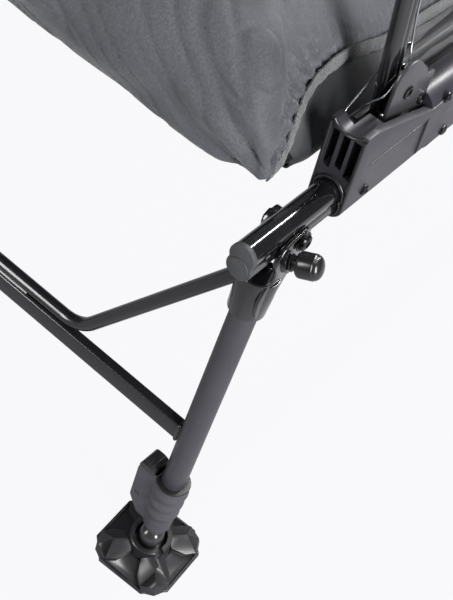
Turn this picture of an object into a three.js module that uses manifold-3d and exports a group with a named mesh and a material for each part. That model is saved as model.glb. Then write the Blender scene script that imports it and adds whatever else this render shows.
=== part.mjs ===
// Carp fishing chair: two side rails carry folding leg frames with sliding lower legs and
// swivelling mud feet, a padded seat, a reclining backrest and armrests on struts.
// Millimetres, +Z up. The sitter faces -Y, and +X is the sitter's left.
// The origin is on the ground under the middle of the chair. Pieces are made from a side's front
// leg, with heights measured from the middle of the rail, and the whole is lifted at the end.

import * as THREE from 'three';
import { mergeVertices } from 'three/addons/utils/BufferGeometryUtils.js';
import { ConvexGeometry } from 'three/addons/geometries/ConvexGeometry.js';
import Module from 'manifold-3d';

const wasm = await Module();
wasm.setup();

// Whole chair
const RAIL_HALF_SPAN = 300;
const FOOT_SPREAD = 730;
const RAIL_HEIGHT = 415;
const FIT = 0.3;
const OVERRUN = 6;

// Side rail and its caps
const LOBE_RADIUS = 10;
const LOBE_SPACING = 10;
const RAIL_WALL = 2;
const RAIL_OVERHANG = 9;
const CAP_LIP = 0.6;
const CAP_THICKNESS = 5;
const CAP_PLUG = 12;
const CAP_RAISE = 0.8;

// Leg frame: lengths along a leg are measured from the foot ball's centre
const BALL_HEIGHT = 27;
const BALL_RADIUS = 12;
const LEG_TILT = 4.92;
const OUTER_LEG_RADIUS = 11;
const OUTER_LEG_WALL = 1.5;
const OUTER_LEG_START = 25.5;
const OUTER_LEG_DROP = 43.4;
const INNER_LEG_RADIUS = 9;
const INNER_LEG_WALL = 1.5;
const INNER_LEG_LENGTH = 200;
const INNER_LEG_SOLID = 20;
const CROSSBAR_RISE = 154.4;
const CROSSBAR_SETBACK = 2.4;
const CROSSBAR_HEIGHT = 18;
const CROSSBAR_DEPTH = 10;
const BRACE_RADIUS = 6.25;
const BRACE_OFFSET = 0.5;
const BRACE_FOOT = 134.4;
const BRACE_TOP_DROP = 37.4;
const BRACE_BEND = 38;
const BRACE_WELD = 0.6;
const BRACE_WALL = 1.2;
const CROSSBAR_WALL = 1.5;

// Fork that joins a leg to the rail
const PIVOT_SETBACK = 47.5;
const EAR_INNER = 10.4;
const EAR_OUTER = 14;
const COLLAR_LEAD = 7.2;
const COLLAR_LENGTH = 33;
const EYE_RADIUS = 10.5;
const FORK_ROOT_RADIUS = 10;
const FORK_ROOT_DROP = 65;
const FORK_ROOT_SETBACK = 26.5;
const FORK_WAIST_RADIUS = 8;
const FORK_WAIST_DROP = 30;
const FORK_WAIST_SETBACK = 33;
const POCKET_DEPTH = 1.2;
const POCKET_RIM = 4;
const BOLT_RADIUS = 4;
const BOLT_HEAD_RADIUS = 7;
const BOLT_HEAD_HEIGHT = 3.6;

// Spring plunger that holds a leg open
const PLUNGER_OUT = 19;
const PLUNGER_SETBACK = 27;
const PLUNGER_DROP = 7.3;
const PLUNGER_BACK_ANGLE = 14;
const PLUNGER_UP_ANGLE = 20;
const PLUNGER_BOSS_RADIUS = 8;
const PLUNGER_PIN_RADIUS = 2.5;
const PLUNGER_PIN_LENGTH = 9;
const KNOB_RADIUS = 8;
const KNOB_LENGTH = 18;
const KNOB_NECK_RADIUS = 4.5;
const KNOB_NECK_LENGTH = 6;
const KNOB_EDGE = 1.5;

// Clamp at the outer leg's end
const CLAMP_START = 22;
const CLAMP_LENGTH = 66;
const CLAMP_TOP_RADIUS = 15.5;
const CLAMP_BOTTOM_RADIUS = 13;
const CLAMP_LIP = 3;
const CLAMP_BUMPS = 3;
const CLAMP_BUMP_OFFSET = 1.6;
const CLAMP_HALF_WIDTH = 11;
const CLAMP_REACH = 31.8;
const CLAMP_SHOULDER = 44;
const CLAMP_SLOT_HALF_WIDTH = 7.5;
const CLAMP_SLOT_START = 47;
const BUTTON_PIN_OUT = 24.4;
const BUTTON_PIN_RISE = 51.8;
const BUTTON_PIN_RADIUS = 2.5;
const BUTTON_INNER = 18.6;
const BUTTON_TOP = 94;
const BUTTON_RIBS = 5;
const BUTTON_RIB = 0.6;

// Mud foot
const FOOT_HALF_WIDTH = 41;
const FOOT_CORNER_CUT = 17;
const FOOT_TURN = 4;
const FOOT_RIM = 4;
const FOOT_RING_RADIUS = 20;
const FOOT_SOCKET_RADIUS = 15.5;
const FOOT_SOCKET_FLOOR = 18;
const FOOT_RING_TOP = 24;
const FOOT_SHOULDER = 13;
const LOBE_REACH = 50;
const LOBE_HEIGHT = 19;
const LOBE_HALF_WIDTH = 14;

// Housing on the rail
const HOUSING_HALF_WIDTH = 15.5;
const NOSE_FRONT = 88;
const NOSE_FOOT = 95;
const NOSE_TOP = 66;
const NOSE_BACK = 118;
const HOUSING_BASE = -18;
const HOUSING_STEP = 225;
const HOUSING_STEP_DROP = 6;
const HOUSING_REAR = 300;
const CHANNEL_REAR = 190;
const CHANNEL_INNER = 12;
const CHANNEL_OUTER = 9.5;
const CHANNEL_FLOOR = 19;
const WALL_FRONT_TOP = 61;
const WALL_REAR_TOP = 40;
const INNER_WALL_TOP = 46;
const SPINE_TOP = 50;
const SPINE_RADIUS = 15;
const SADDLE_DIP = 5;
const SADDLE_RADIUS = 14.6;
const REST_FRONT = 99;
const REST_FRONT_HEIGHT = 58.5;
const REST_REAR_HEIGHT = 44.5;
const REST_OUTER = 2.6;
const SLOT_COUNT = 3;
const SLOT_WIDTH = 6.5;
const SLOT_RIB = 2.5;
const SLOT_BOTTOM = 26;
const SLOT_TOP = 57;
const SLOT_REACH = 106;
const PANEL_DEPTH = 0.8;
const BOSS_RADIUS = 7;
const BOSS_SETBACK = 250;

// Catch plate, whose upper edge and rivets are given as [distance, height above the nose's top],
// the edge's distances from the plate's rear and the rivets' from its front
const PLATE_INNER = 2;
const PLATE_THICKNESS = 3;
const PLATE_CREST = [[0, -3], [10, 6], [25, 20], [36, 31]];
const PLATE_TIP = 31;
const PLATE_TIP_SETBACK = 8;
const PLATE_RIVETS = [[13, 2], [44, -18]];
const RIVET_RADIUS = 4.2;
const RIVET_HEIGHT = 1.2;

// Strut and the pawl that locks it
const STRUT_OFFSET = 7.7;
const STRUT_SETBACK = 145;
const STRUT_HEIGHT = 41;
const STRUT_LENGTH = 205;
const STRUT_FORWARD = 5;
const STRUT_INWARD = 5.4;
const STRUT_LOBE = 6;
const STRUT_SPACING = 6;
const STRUT_FOOT_HALF = 3;
const STRUT_FOOT_LENGTH = 18;
const STRUT_TAPER = 16;
const STRUT_BLEND = 1;
const STRUT_BLEND_SHARE = 0.96;
const STRUT_PIN_RADIUS = 4;
const STRUT_PIN_BLIND = 2.5;
const TOOTH_COUNT = 9;
const TOOTH_DEPTH = 1.2;
const PAWL_HALF_WIDTH = 3.5;
const PAWL_TOP = 40;
const PAWL_BASE = 26;
const PAWL_TOOTH_ANGLE = 50;

// Armrest and its lever
const ARM_OFFSET = 26.5;
const ARM_HALF_WIDTH = 12.5;
const ARM_WALL = 2;
const ARM_FRONT = 50;
const ARM_REAR = 452;
const ARM_BASE = 235;
const ARM_ROOF = 261;
const ARM_LUG_RADIUS = 9;
const ARM_LUG_LENGTH = 30;
const PAD_HALF_WIDTH = 22;
const PAD_FRONT = 40;
const PAD_REAR = 415;
const PAD_HEIGHT = 20;
const PAD_CORNER = 16;
const PAD_ROUND = 4;
const LEVER_SETBACK = 75;
const LEVER_DEPTH = 12;
const LEVER_THICKNESS = 3;
const LEVER_PIN_RADIUS = 3;
const LEVER_REACH = 48;
const LEVER_DROP = 20;
const LEVER_WIDTH = 14;

// Release wire: from the lever, down the strut, round over its foot and back up beside it
const WIRE_RADIUS = 0.8;
const WIRE_ROUTE = [
  [-8.3, 88, 233],
  [-8, 112, 217],
  [-10.9, 141, 170],
  [-12.5, 151, 135],
  [-9, 157, 102],
  [-3.4, 152, 90],
  [-1.4, 142, 83],
  [-2, 131.5, 70.5],
  [-8, 129, 62],
  [-14, 128, 52],
  [-18, 125, 44],
  [-18.6, 115, 38],
  [-19, 111, 49],
  [-19.4, 130, 62],
  [-19.6, 150, 74.5],
  [-19.4, 160, 82],
];

// Seat, and how thick a cushion's side edge is as a share of its middle
const CUSHION_SIDE_SHARE = 0.55;
const SEAT_TUBE_OFFSET = 38;
const SEAT_TUBE_HEIGHT = 23;
const SEAT_TUBE_RADIUS = 12;
const SEAT_TUBE_WALL = 1.5;
const SEAT_TUBE_FRONT = 60;
const SEAT_TUBE_REAR = 440;
const SEAT_TUBE_BEND = 55;
const HEM_WALL = 1.7;
const SLING_BASE = 17;
const SLING_THICKNESS = 3;
const SLING_REAR = 395;
const SEAT_INSET = 60;
const SEAT_ROLL_RADIUS = 43;
const SEAT_ROLL_SETBACK = 60;
const SEAT_ROLL_HEIGHT = 65;
const POCKET_REACH = 37;
const POCKET_SPREAD = 62;
const POCKET_SETBACK = 42;
const POCKET_HEIGHT = 25;
const SEAT_BASE = 22;
const SEAT_REAR = 408;
const SEAT_REAR_TOP = 51;

// Backrest: lengths up the back are measured from its pivot
const BACK_SETBACK = 446;
const BACK_HEIGHT = 110;
const BACK_LEAN = 15;
const BACK_TUBE_OFFSET = 64.5;
const BACK_TUBE_RADIUS = 12.5;
const BACK_TUBE_WALL = 1.5;
const BACK_LENGTH = 620;
const BACK_BEND = 60;
const BACK_TAIL = 18;
const BACK_ARM_LENGTH = 95;
const BACK_ARM_LEAN = 5;
const BACK_SLING_START = 130;
const BACK_SLING_END = 560;
const BACK_INSET = 75;
const BACK_CUSHION_START = -20;
const BACK_CUSHION_END = 600;
const BACK_CUSHION_THICKNESS = 34;

// Casting that carries the backrest
const HINGE_FRONT = 385;
const HINGE_REAR = 425;
const HINGE_WALL = 4;
const HINGE_EAR_INNER = 50;
const HINGE_EAR_THICKNESS = 6;
const HINGE_EAR_RADIUS = 12;
const HINGE_KNEE_OFFSET = 6;
const HINGE_KNEE_HEIGHT = 55;

// Facets on round surfaces
const FINE = 12;
const COARSE = 10;
const SMALL = 8;
const ARC_STEPS = 3;
const BEND_STEPS = 3;
const WIRE_STEPS = 24;
const PAD_ROUND_STEPS = 2;
const CUSHION_STATIONS = 10;
const SEAT_OUTLINE_POINTS = 25;
const BACK_OUTLINE_POINTS = 21;

const PIVOT_HEIGHT = -LOBE_SPACING / 2;
const LEG_LENGTH = (RAIL_HEIGHT - BALL_HEIGHT) / Math.cos(THREE.MathUtils.degToRad(LEG_TILT));
const COLLAR_START = LEG_LENGTH - FORK_ROOT_DROP - COLLAR_LEAD;
const CLEAR_BOLT = BOLT_RADIUS + FIT;
const CLEAR_LEG = OUTER_LEG_RADIUS + FIT;
const SIDES = { L: 1, R: -1 };

const X_AXIS = new THREE.Vector3(1, 0, 0);
const Y_AXIS = new THREE.Vector3(0, 1, 0);
const Z_AXIS = new THREE.Vector3(0, 0, 1);
const at = (x, y, z) => new THREE.Vector3(x, y, z);
const degrees = THREE.MathUtils.degToRad;

// Solids and how they are joined

function solid(geometry) {
  const bare = new THREE.BufferGeometry();
  bare.setAttribute('position', geometry.getAttribute('position'));
  bare.setIndex(geometry.index);
  const merged = mergeVertices(bare);
  const corners = merged.index.array;
  const triangles = [];
  for (let i = 0; i < corners.length; i += 3) {
    const [a, b, c] = corners.slice(i, i + 3);
    if (a !== b && b !== c && c !== a) triangles.push(a, b, c);
  }
  return new wasm.Manifold(new wasm.Mesh({
    numProp: 3,
    vertProperties: new Float32Array(merged.getAttribute('position').array),
    triVerts: new Uint32Array(triangles),
  }));
}

function surface(body) {
  const mesh = body.getMesh();
  const geometry = new THREE.BufferGeometry();
  geometry.setAttribute('position', new THREE.BufferAttribute(mesh.vertProperties, 3));
  geometry.setIndex(new THREE.BufferAttribute(mesh.triVerts, 1));
  return geometry;
}

function join(...pieces) {
  return surface(pieces.map(solid).reduce((whole, piece) => whole.add(piece)));
}

function cut(piece, ...tools) {
  return surface(tools.map(solid).reduce((rest, tool) => rest.subtract(tool), solid(piece)));
}

function common(first, second) {
  return surface(solid(first).intersect(solid(second)));
}

// The mirror image of a piece across the chair, along it, or both.
function reflected(geometry, across, along) {
  const image = surface(solid(geometry)).scale(across, along, 1);
  if (across * along < 0) {
    const corners = image.index.array;
    for (let i = 0; i < corners.length; i += 3) {
      [corners[i + 1], corners[i + 2]] = [corners[i + 2], corners[i + 1]];
    }
  }
  return image;
}

// Simple forms

function extruded(shape, from, to, axes, arcSteps) {
  const options = { depth: to - from, curveSegments: arcSteps, bevelEnabled: false };
  return new THREE.ExtrudeGeometry(shape, options).translate(0, 0, from).applyMatrix4(axes);
}

// A shape drawn in Y and Z, extruded between two places across the chair.
function acrossX(shape, from, to, arcSteps = ARC_STEPS) {
  return extruded(shape, from, to, new THREE.Matrix4().makeBasis(Y_AXIS, Z_AXIS, X_AXIS), arcSteps);
}

// A shape drawn in X and Z, extruded between two places along the chair.
function alongY(shape, from, to, arcSteps = ARC_STEPS) {
  const axes = new THREE.Matrix4().makeBasis(X_AXIS, Z_AXIS, Y_AXIS.clone().negate());
  return extruded(shape, -to, -from, axes, arcSteps);
}

// A shape drawn in X and Y, extruded between two heights.
function upZ(shape, from, to, arcSteps = ARC_STEPS) {
  return extruded(shape, from, to, new THREE.Matrix4(), arcSteps);
}

function block(xFrom, xTo, yFrom, yTo, zFrom, zTo) {
  const box = new THREE.BoxGeometry(xTo - xFrom, yTo - yFrom, zTo - zFrom);
  return box.translate((xFrom + xTo) / 2, (yFrom + yTo) / 2, (zFrom + zTo) / 2);
}

function cone(from, to, startRadius, endRadius, sides = COARSE) {
  const axis = to.clone().sub(from);
  const form = new THREE.CylinderGeometry(endRadius, startRadius, axis.length(), sides);
  form.applyQuaternion(new THREE.Quaternion().setFromUnitVectors(Y_AXIS, axis.normalize()));
  const middle = from.clone().add(to).divideScalar(2);
  return form.translate(middle.x, middle.y, middle.z);
}

function rod(from, to, radius, sides = COARSE) {
  return cone(from, to, radius, radius, sides);
}

function ball(centre, radius) {
  return new THREE.SphereGeometry(radius, COARSE, COARSE / 2)
    .rotateX(Math.PI / 2).translate(centre.x, centre.y, centre.z);
}

// A profile of [radius, height] points turned about the Z axis.
function turned(profile, sides = FINE) {
  const points = profile.map(([radius, height]) => new THREE.Vector2(radius, height));
  return new THREE.LatheGeometry(points, sides).rotateX(Math.PI / 2);
}

function polygon(points) {
  return new THREE.Shape(points.map(([u, v]) => new THREE.Vector2(u, v)));
}

// A polygon whose corners are rounded alike.
function rounded(points, radius) {
  const corners = points.map(([u, v]) => new THREE.Vector2(u, v));
  const shape = new THREE.Shape();
  corners.forEach((corner, i) => {
    const before = corners.at(i - 1).clone().sub(corner).setLength(radius).add(corner);
    const after = corners[(i + 1) % corners.length].clone().sub(corner).setLength(radius).add(corner);
    if (i === 0) shape.moveTo(before.x, before.y);
    else shape.lineTo(before.x, before.y);
    shape.quadraticCurveTo(corner.x, corner.y, after.x, after.y);
  });
  shape.closePath();
  return shape;
}

// Two overlapping circles, one above the other: the section of the rail and of the strut.
function twoLobe(radius, spacing, height) {
  const waist = Math.asin(spacing / 2 / radius);
  const shape = new THREE.Shape();
  shape.absarc(0, height + spacing / 2, radius, -waist, Math.PI + waist, false);
  shape.absarc(0, height - spacing / 2, radius, Math.PI - waist, 2 * Math.PI + waist, false);
  shape.closePath();
  return shape;
}

// A flat link across X: circles {y, z, r}, each joined to the next by straight flanks.
function link(circles, xFrom, xTo) {
  const rim = ({ y, z, r }) => Array.from({ length: SMALL }, (_, i) => {
    const turn = (2 * Math.PI * (i + 1 / 2)) / SMALL;
    return [y + r * Math.cos(turn), z + r * Math.sin(turn)];
  });
  const spans = circles.slice(1).map((circle, i) => {
    const flat = [...rim(circles[i]), ...rim(circle)];
    return new ConvexGeometry(flat.flatMap(([y, z]) => [at(xFrom, y, z), at(xTo, y, z)]));
  });
  return join(...spans);
}

// A path through straight runs and round bends, whose stations are where its direction changes.
class StationPath extends THREE.Curve {
  constructor(corners, bend) {
    super();
    this.points = [corners[0]];
    this.tangents = [corners[1].clone().sub(corners[0]).normalize()];
    for (let i = 1; i < corners.length - 1; i += 1) this.addBend(corners[i], corners[i + 1], bend);
    this.points.push(corners.at(-1));
    this.tangents.push(this.tangents.at(-1));
  }

  addBend(corner, next, bend) {
    const arrive = corner.clone().sub(this.points.at(-1)).normalize();
    const leave = next.clone().sub(corner).normalize();
    const turn = arrive.angleTo(leave);
    const reach = bend * Math.tan(turn / 2);
    const inward = leave.clone().addScaledVector(arrive, -arrive.dot(leave)).normalize();
    const start = corner.clone().addScaledVector(arrive, -reach);
    const centre = start.clone().addScaledVector(inward, bend);
    for (let step = 0; step <= BEND_STEPS; step += 1) {
      const angle = (turn * step) / BEND_STEPS;
      const [ahead, aside] = [Math.sin(angle), Math.cos(angle)];
      const outward = inward.clone().multiplyScalar(-aside).addScaledVector(arrive, ahead);
      this.points.push(centre.clone().addScaledVector(outward, bend));
      this.tangents.push(arrive.clone().multiplyScalar(aside).addScaledVector(inward, ahead));
    }
  }

  get steps() {
    return this.points.length - 1;
  }

  getPoint(t, target = new THREE.Vector3()) {
    return target.copy(this.points[Math.round(t * this.steps)]);
  }

  getPointAt(t, target) {
    return this.getPoint(t, target);
  }

  getTangentAt(t, target = new THREE.Vector3()) {
    return target.copy(this.tangents[Math.round(t * this.steps)]);
  }
}

function tube(path, radius, sides = COARSE) {
  const section = new THREE.Shape().absarc(0, 0, radius, 0, 2 * Math.PI, false);
  const options = { steps: path.steps, curveSegments: sides / 2, extrudePath: path };
  return new THREE.ExtrudeGeometry(section, options);
}

// A closed skin over rings of equally many points, each end closed to its ring's centre.
function loft(rings) {
  const count = rings[0].length;
  const centre = (ring) => ring.reduce((sum, p) => sum.add(p), at(0, 0, 0)).divideScalar(ring.length);
  const points = [...rings.flat(), centre(rings[0]), centre(rings.at(-1))];
  const first = rings.length * count;
  const triangles = [];
  for (let i = 0; i < count; i += 1) {
    const next = (i + 1) % count;
    for (let ring = 0; ring < rings.length - 1; ring += 1) {
      const here = ring * count;
      const there = here + count;
      triangles.push(here + i, here + next, there + i, here + next, there + next, there + i);
    }
    const last = first - count;
    triangles.push(first, next, i, first + 1, last + i, last + next);
  }
  const geometry = new THREE.BufferGeometry().setFromPoints(points);
  geometry.setIndex(triangles);
  return geometry;
}

// Where things lie along a leg, which leans back from its foot

const LEG_PLACE = new THREE.Matrix4().makeTranslation(0, 0, BALL_HEIGHT - RAIL_HEIGHT)
  .multiply(new THREE.Matrix4().makeRotationX(-degrees(LEG_TILT)));

function onLeg(geometry) {
  return geometry.applyMatrix4(LEG_PLACE);
}

function alongLeg(radius, from, to) {
  return rod(at(0, 0, from), at(0, 0, to), radius, FINE);
}

// Side rail

function boltHole(setback) {
  const reach = LOBE_RADIUS + OVERRUN;
  return rod(at(-reach, setback, PIVOT_HEIGHT), at(reach, setback, PIVOT_HEIGHT), CLEAR_BOLT);
}

function sideRail() {
  const section = twoLobe(LOBE_RADIUS, LOBE_SPACING, 0);
  section.holes.push(twoLobe(LOBE_RADIUS - RAIL_WALL, LOBE_SPACING, 0));
  const start = CAP_THICKNESS + FIT - RAIL_OVERHANG;
  const rail = alongY(section, start, FOOT_SPREAD - start);
  return cut(rail, boltHole(PIVOT_SETBACK), boltHole(FOOT_SPREAD - PIVOT_SETBACK));
}

// End cap: a plug in the rail, a lip over its end and a raised disc on the lower lobe.
function railCap() {
  const back = CAP_THICKNESS - RAIL_OVERHANG;
  const lip = twoLobe(LOBE_RADIUS + CAP_LIP, LOBE_SPACING, 0);
  const plug = twoLobe(LOBE_RADIUS - RAIL_WALL - FIT, LOBE_SPACING, 0);
  const disc = at(0, CAP_RAISE - RAIL_OVERHANG, PIVOT_HEIGHT);
  return join(
    alongY(lip, -RAIL_OVERHANG, back),
    alongY(plug, back - CAP_RAISE, back + CAP_PLUG),
    rod(at(0, -RAIL_OVERHANG - CAP_RAISE, PIVOT_HEIGHT), disc, LOBE_RADIUS - CAP_THICKNESS / 2, FINE),
  );
}

// Leg frame: two outer legs, a flat crossbar and a bent brace, welded as one

function legFrame() {
  const legs = [-RAIL_HALF_SPAN, RAIL_HALF_SPAN].map((x) => ({
    tube: alongLeg(OUTER_LEG_RADIUS, OUTER_LEG_START, LEG_LENGTH - OUTER_LEG_DROP).translate(x, 0, 0),
    bore: alongLeg(OUTER_LEG_RADIUS - OUTER_LEG_WALL, 0, COLLAR_START + 2 * COLLAR_LENGTH).translate(x, 0, 0),
  }));
  const frame = join(legs[0].tube, legs[1].tube, crossbar(0), brace());
  return onLeg(cut(frame, legs[0].bore, legs[1].bore, crossbar(CROSSBAR_WALL)));
}

function crossbar(inset) {
  const height = CROSSBAR_HEIGHT / 2 - inset;
  const depth = CROSSBAR_DEPTH / 2 - inset;
  return block(-RAIL_HALF_SPAN, RAIL_HALF_SPAN, -CROSSBAR_SETBACK - depth, depth - CROSSBAR_SETBACK,
    CROSSBAR_RISE - height, CROSSBAR_RISE + height);
}

// The brace runs on the crossbar and rises to the fork's inner ear, where it ends flat.
function brace() {
  const run = CROSSBAR_RISE + CROSSBAR_HEIGHT / 2 + BRACE_RADIUS - BRACE_WELD;
  const knee = RAIL_HALF_SPAN - BRACE_FOOT;
  const top = LEG_LENGTH - BRACE_TOP_DROP;
  const path = new StationPath([
    at(-RAIL_HALF_SPAN + BRACE_RADIUS, BRACE_OFFSET, top),
    at(-knee, BRACE_OFFSET, run),
    at(knee, BRACE_OFFSET, run),
    at(RAIL_HALF_SPAN - BRACE_RADIUS, BRACE_OFFSET, top),
  ], BRACE_BEND);
  const ends = [-1, 1].map((side) => {
    const face = RAIL_HALF_SPAN - EAR_OUTER - FIT;
    const beyond = RAIL_HALF_SPAN + CLAMP_REACH;
    const low = COLLAR_START - COLLAR_LENGTH;
    const high = top + COLLAR_LENGTH;
    const span = [side * face, side * beyond].sort((a, b) => a - b);
    return block(...span, -COLLAR_LENGTH, COLLAR_LENGTH, low, high);
  });
  const bore = tube(path, BRACE_RADIUS - BRACE_WALL, SMALL);
  return cut(tube(path, BRACE_RADIUS, SMALL), bore, ...ends);
}

// Fork: a collar on the leg and two ears that straddle the rail

const plungerDirection = at(1, Math.tan(degrees(PLUNGER_BACK_ANGLE)), Math.tan(degrees(PLUNGER_UP_ANGLE)))
  .normalize();
const plungerSeat = at(PLUNGER_OUT, PLUNGER_SETBACK, -PLUNGER_DROP);
const alongPlunger = (distance) => plungerSeat.clone().addScaledVector(plungerDirection, distance);

function legBracket() {
  const eye = { y: PIVOT_SETBACK, z: PIVOT_HEIGHT, r: EYE_RADIUS };
  const root = { y: FORK_ROOT_SETBACK, z: -FORK_ROOT_DROP, r: FORK_ROOT_RADIUS };
  const waist = { y: FORK_WAIST_SETBACK, z: -FORK_WAIST_DROP, r: FORK_WAIST_RADIUS };
  const plunger = { y: PLUNGER_SETBACK, z: -PLUNGER_DROP - BOLT_RADIUS, r: PLUNGER_BOSS_RADIUS };
  const outerEar = [root, waist, plunger, eye];
  const innerEar = [root, waist, eye];
  const pocket = [root, waist].map(({ y, z, r }) => ({ y, z: z + POCKET_RIM, r: r - POCKET_RIM }));
  const collar = onLeg(turned([
    [0, COLLAR_START],
    [EAR_OUTER - FIT, COLLAR_START],
    [EAR_OUTER, COLLAR_START + CAP_THICKNESS],
    [EAR_OUTER, COLLAR_START + COLLAR_LENGTH],
    [0, COLLAR_START + COLLAR_LENGTH],
  ], COARSE));
  const fork = join(
    collar,
    link(outerEar, EAR_INNER, EAR_OUTER),
    link(innerEar, -EAR_OUTER, -EAR_INNER),
    rod(alongPlunger(-PLUNGER_BOSS_RADIUS), plungerSeat, PLUNGER_BOSS_RADIUS),
  );
  const collarTop = COLLAR_LENGTH - FORK_ROOT_DROP;
  const railSlot = block(-EAR_INNER, EAR_INNER, 0, 2 * PIVOT_SETBACK,
    collarTop, 2 * PIVOT_HEIGHT - collarTop);
  const boltReach = EAR_OUTER + OVERRUN;
  return cut(
    fork,
    railSlot,
    onLeg(alongLeg(CLEAR_LEG, COLLAR_START - OVERRUN, COLLAR_START + COLLAR_LENGTH + OVERRUN)),
    rod(at(-boltReach, PIVOT_SETBACK, PIVOT_HEIGHT), at(boltReach, PIVOT_SETBACK, PIVOT_HEIGHT), CLEAR_BOLT),
    rod(alongPlunger(-2 * PLUNGER_BOSS_RADIUS), alongPlunger(OVERRUN), PLUNGER_PIN_RADIUS + FIT),
    link(pocket, EAR_OUTER - POCKET_DEPTH, EAR_OUTER + OVERRUN),
  );
}

// Bolt that the leg folds about, with a flat head on each side.
function pivotBolt() {
  const headStart = EAR_OUTER + FIT;
  const headEnd = headStart + BOLT_HEAD_HEIGHT;
  const heads = [-1, 1].map((side) => cone(
    at(side * headStart, PIVOT_SETBACK, PIVOT_HEIGHT),
    at(side * headEnd, PIVOT_SETBACK, PIVOT_HEIGHT),
    BOLT_HEAD_RADIUS, BOLT_HEAD_RADIUS - RAIL_WALL, SMALL,
  ));
  const end = (side) => at(side * headEnd, PIVOT_SETBACK, PIVOT_HEIGHT);
  return join(rod(end(-1), end(1), BOLT_RADIUS, SMALL), ...heads);
}

// Plunger: a pin through the fork's ear, a neck and a domed grip.
function lockKnob() {
  const gripEnd = KNOB_NECK_LENGTH + KNOB_LENGTH;
  const knob = turned([
    [0, -PLUNGER_PIN_LENGTH],
    [PLUNGER_PIN_RADIUS, -PLUNGER_PIN_LENGTH],
    [PLUNGER_PIN_RADIUS, FIT],
    [KNOB_NECK_RADIUS, FIT],
    [KNOB_NECK_RADIUS, KNOB_NECK_LENGTH],
    [KNOB_RADIUS - KNOB_EDGE, KNOB_NECK_LENGTH],
    [KNOB_RADIUS, KNOB_NECK_LENGTH + KNOB_EDGE],
    [KNOB_RADIUS, gripEnd - 3 * KNOB_EDGE],
    [KNOB_RADIUS - KNOB_EDGE, gripEnd - KNOB_EDGE],
    [KNOB_RADIUS / 2, gripEnd - KNOB_EDGE / 4],
    [0, gripEnd],
  ], COARSE);
  knob.applyQuaternion(new THREE.Quaternion().setFromUnitVectors(Z_AXIS, plungerDirection));
  return knob.translate(plungerSeat.x, plungerSeat.y, plungerSeat.z);
}

// Sliding lower leg with the ball that its foot swivels on

function innerLeg() {
  const stem = alongLeg(INNER_LEG_RADIUS, 0, INNER_LEG_LENGTH);
  const bore = alongLeg(INNER_LEG_RADIUS - INNER_LEG_WALL, INNER_LEG_SOLID, INNER_LEG_LENGTH + OVERRUN);
  return onLeg(cut(join(ball(at(0, 0, 0), BALL_RADIUS), stem), bore));
}

// Clamp: a tapered sleeve with finger bumps, and a box beside it for the button

function legClamp() {
  const top = CLAMP_START + CLAMP_LENGTH;
  const sleeve = turned([
    [0, CLAMP_START],
    [CLAMP_BOTTOM_RADIUS, CLAMP_START],
    [CLAMP_TOP_RADIUS, top - CLAMP_LIP],
    [CLAMP_TOP_RADIUS, top],
    [0, top],
  ]);
  const pitch = CLAMP_LENGTH / (CLAMP_BUMPS + 1);
  const bumps = Array.from({ length: CLAMP_BUMPS }, (_, i) => {
    const low = CLAMP_START + pitch * (i + 1 / 2);
    const radius = THREE.MathUtils.lerp(CLAMP_BOTTOM_RADIUS, CLAMP_TOP_RADIUS, (i + 1) / CLAMP_BUMPS);
    const axis = (height) => at(CLAMP_BUMP_OFFSET, 0, height);
    return cone(axis(low), axis(low + pitch), radius - CLAMP_BUMP_OFFSET, radius);
  });
  const box = alongY(polygon([
    [0, BUTTON_PIN_RISE - CLAMP_START],
    [CLAMP_TOP_RADIUS - CLAMP_REACH, BUTTON_PIN_RISE - CLAMP_START],
    [CLAMP_LIP / 2 - CLAMP_REACH, CLAMP_SHOULDER],
    [-CLAMP_REACH, top + FIT],
    [-CLAMP_BOTTOM_RADIUS, top],
    [0, top],
  ]), -CLAMP_HALF_WIDTH, CLAMP_HALF_WIDTH);
  const slot = block(-CLAMP_REACH - OVERRUN, -CLAMP_BOTTOM_RADIUS,
    -CLAMP_SLOT_HALF_WIDTH, CLAMP_SLOT_HALF_WIDTH, CLAMP_SLOT_START, top + OVERRUN);
  const pinReach = CLAMP_HALF_WIDTH + OVERRUN;
  return onLeg(cut(
    join(sleeve, ...bumps, box),
    slot,
    alongLeg(CLEAR_LEG, OUTER_LEG_START - FIT, top + OVERRUN),
    alongLeg(INNER_LEG_RADIUS + 2 * FIT, CLAMP_START - OVERRUN, OUTER_LEG_START),
    rod(at(-BUTTON_PIN_OUT, -pinReach, BUTTON_PIN_RISE), at(-BUTTON_PIN_OUT, pinReach, BUTTON_PIN_RISE),
      BUTTON_PIN_RADIUS + FIT),
  ));
}

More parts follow.
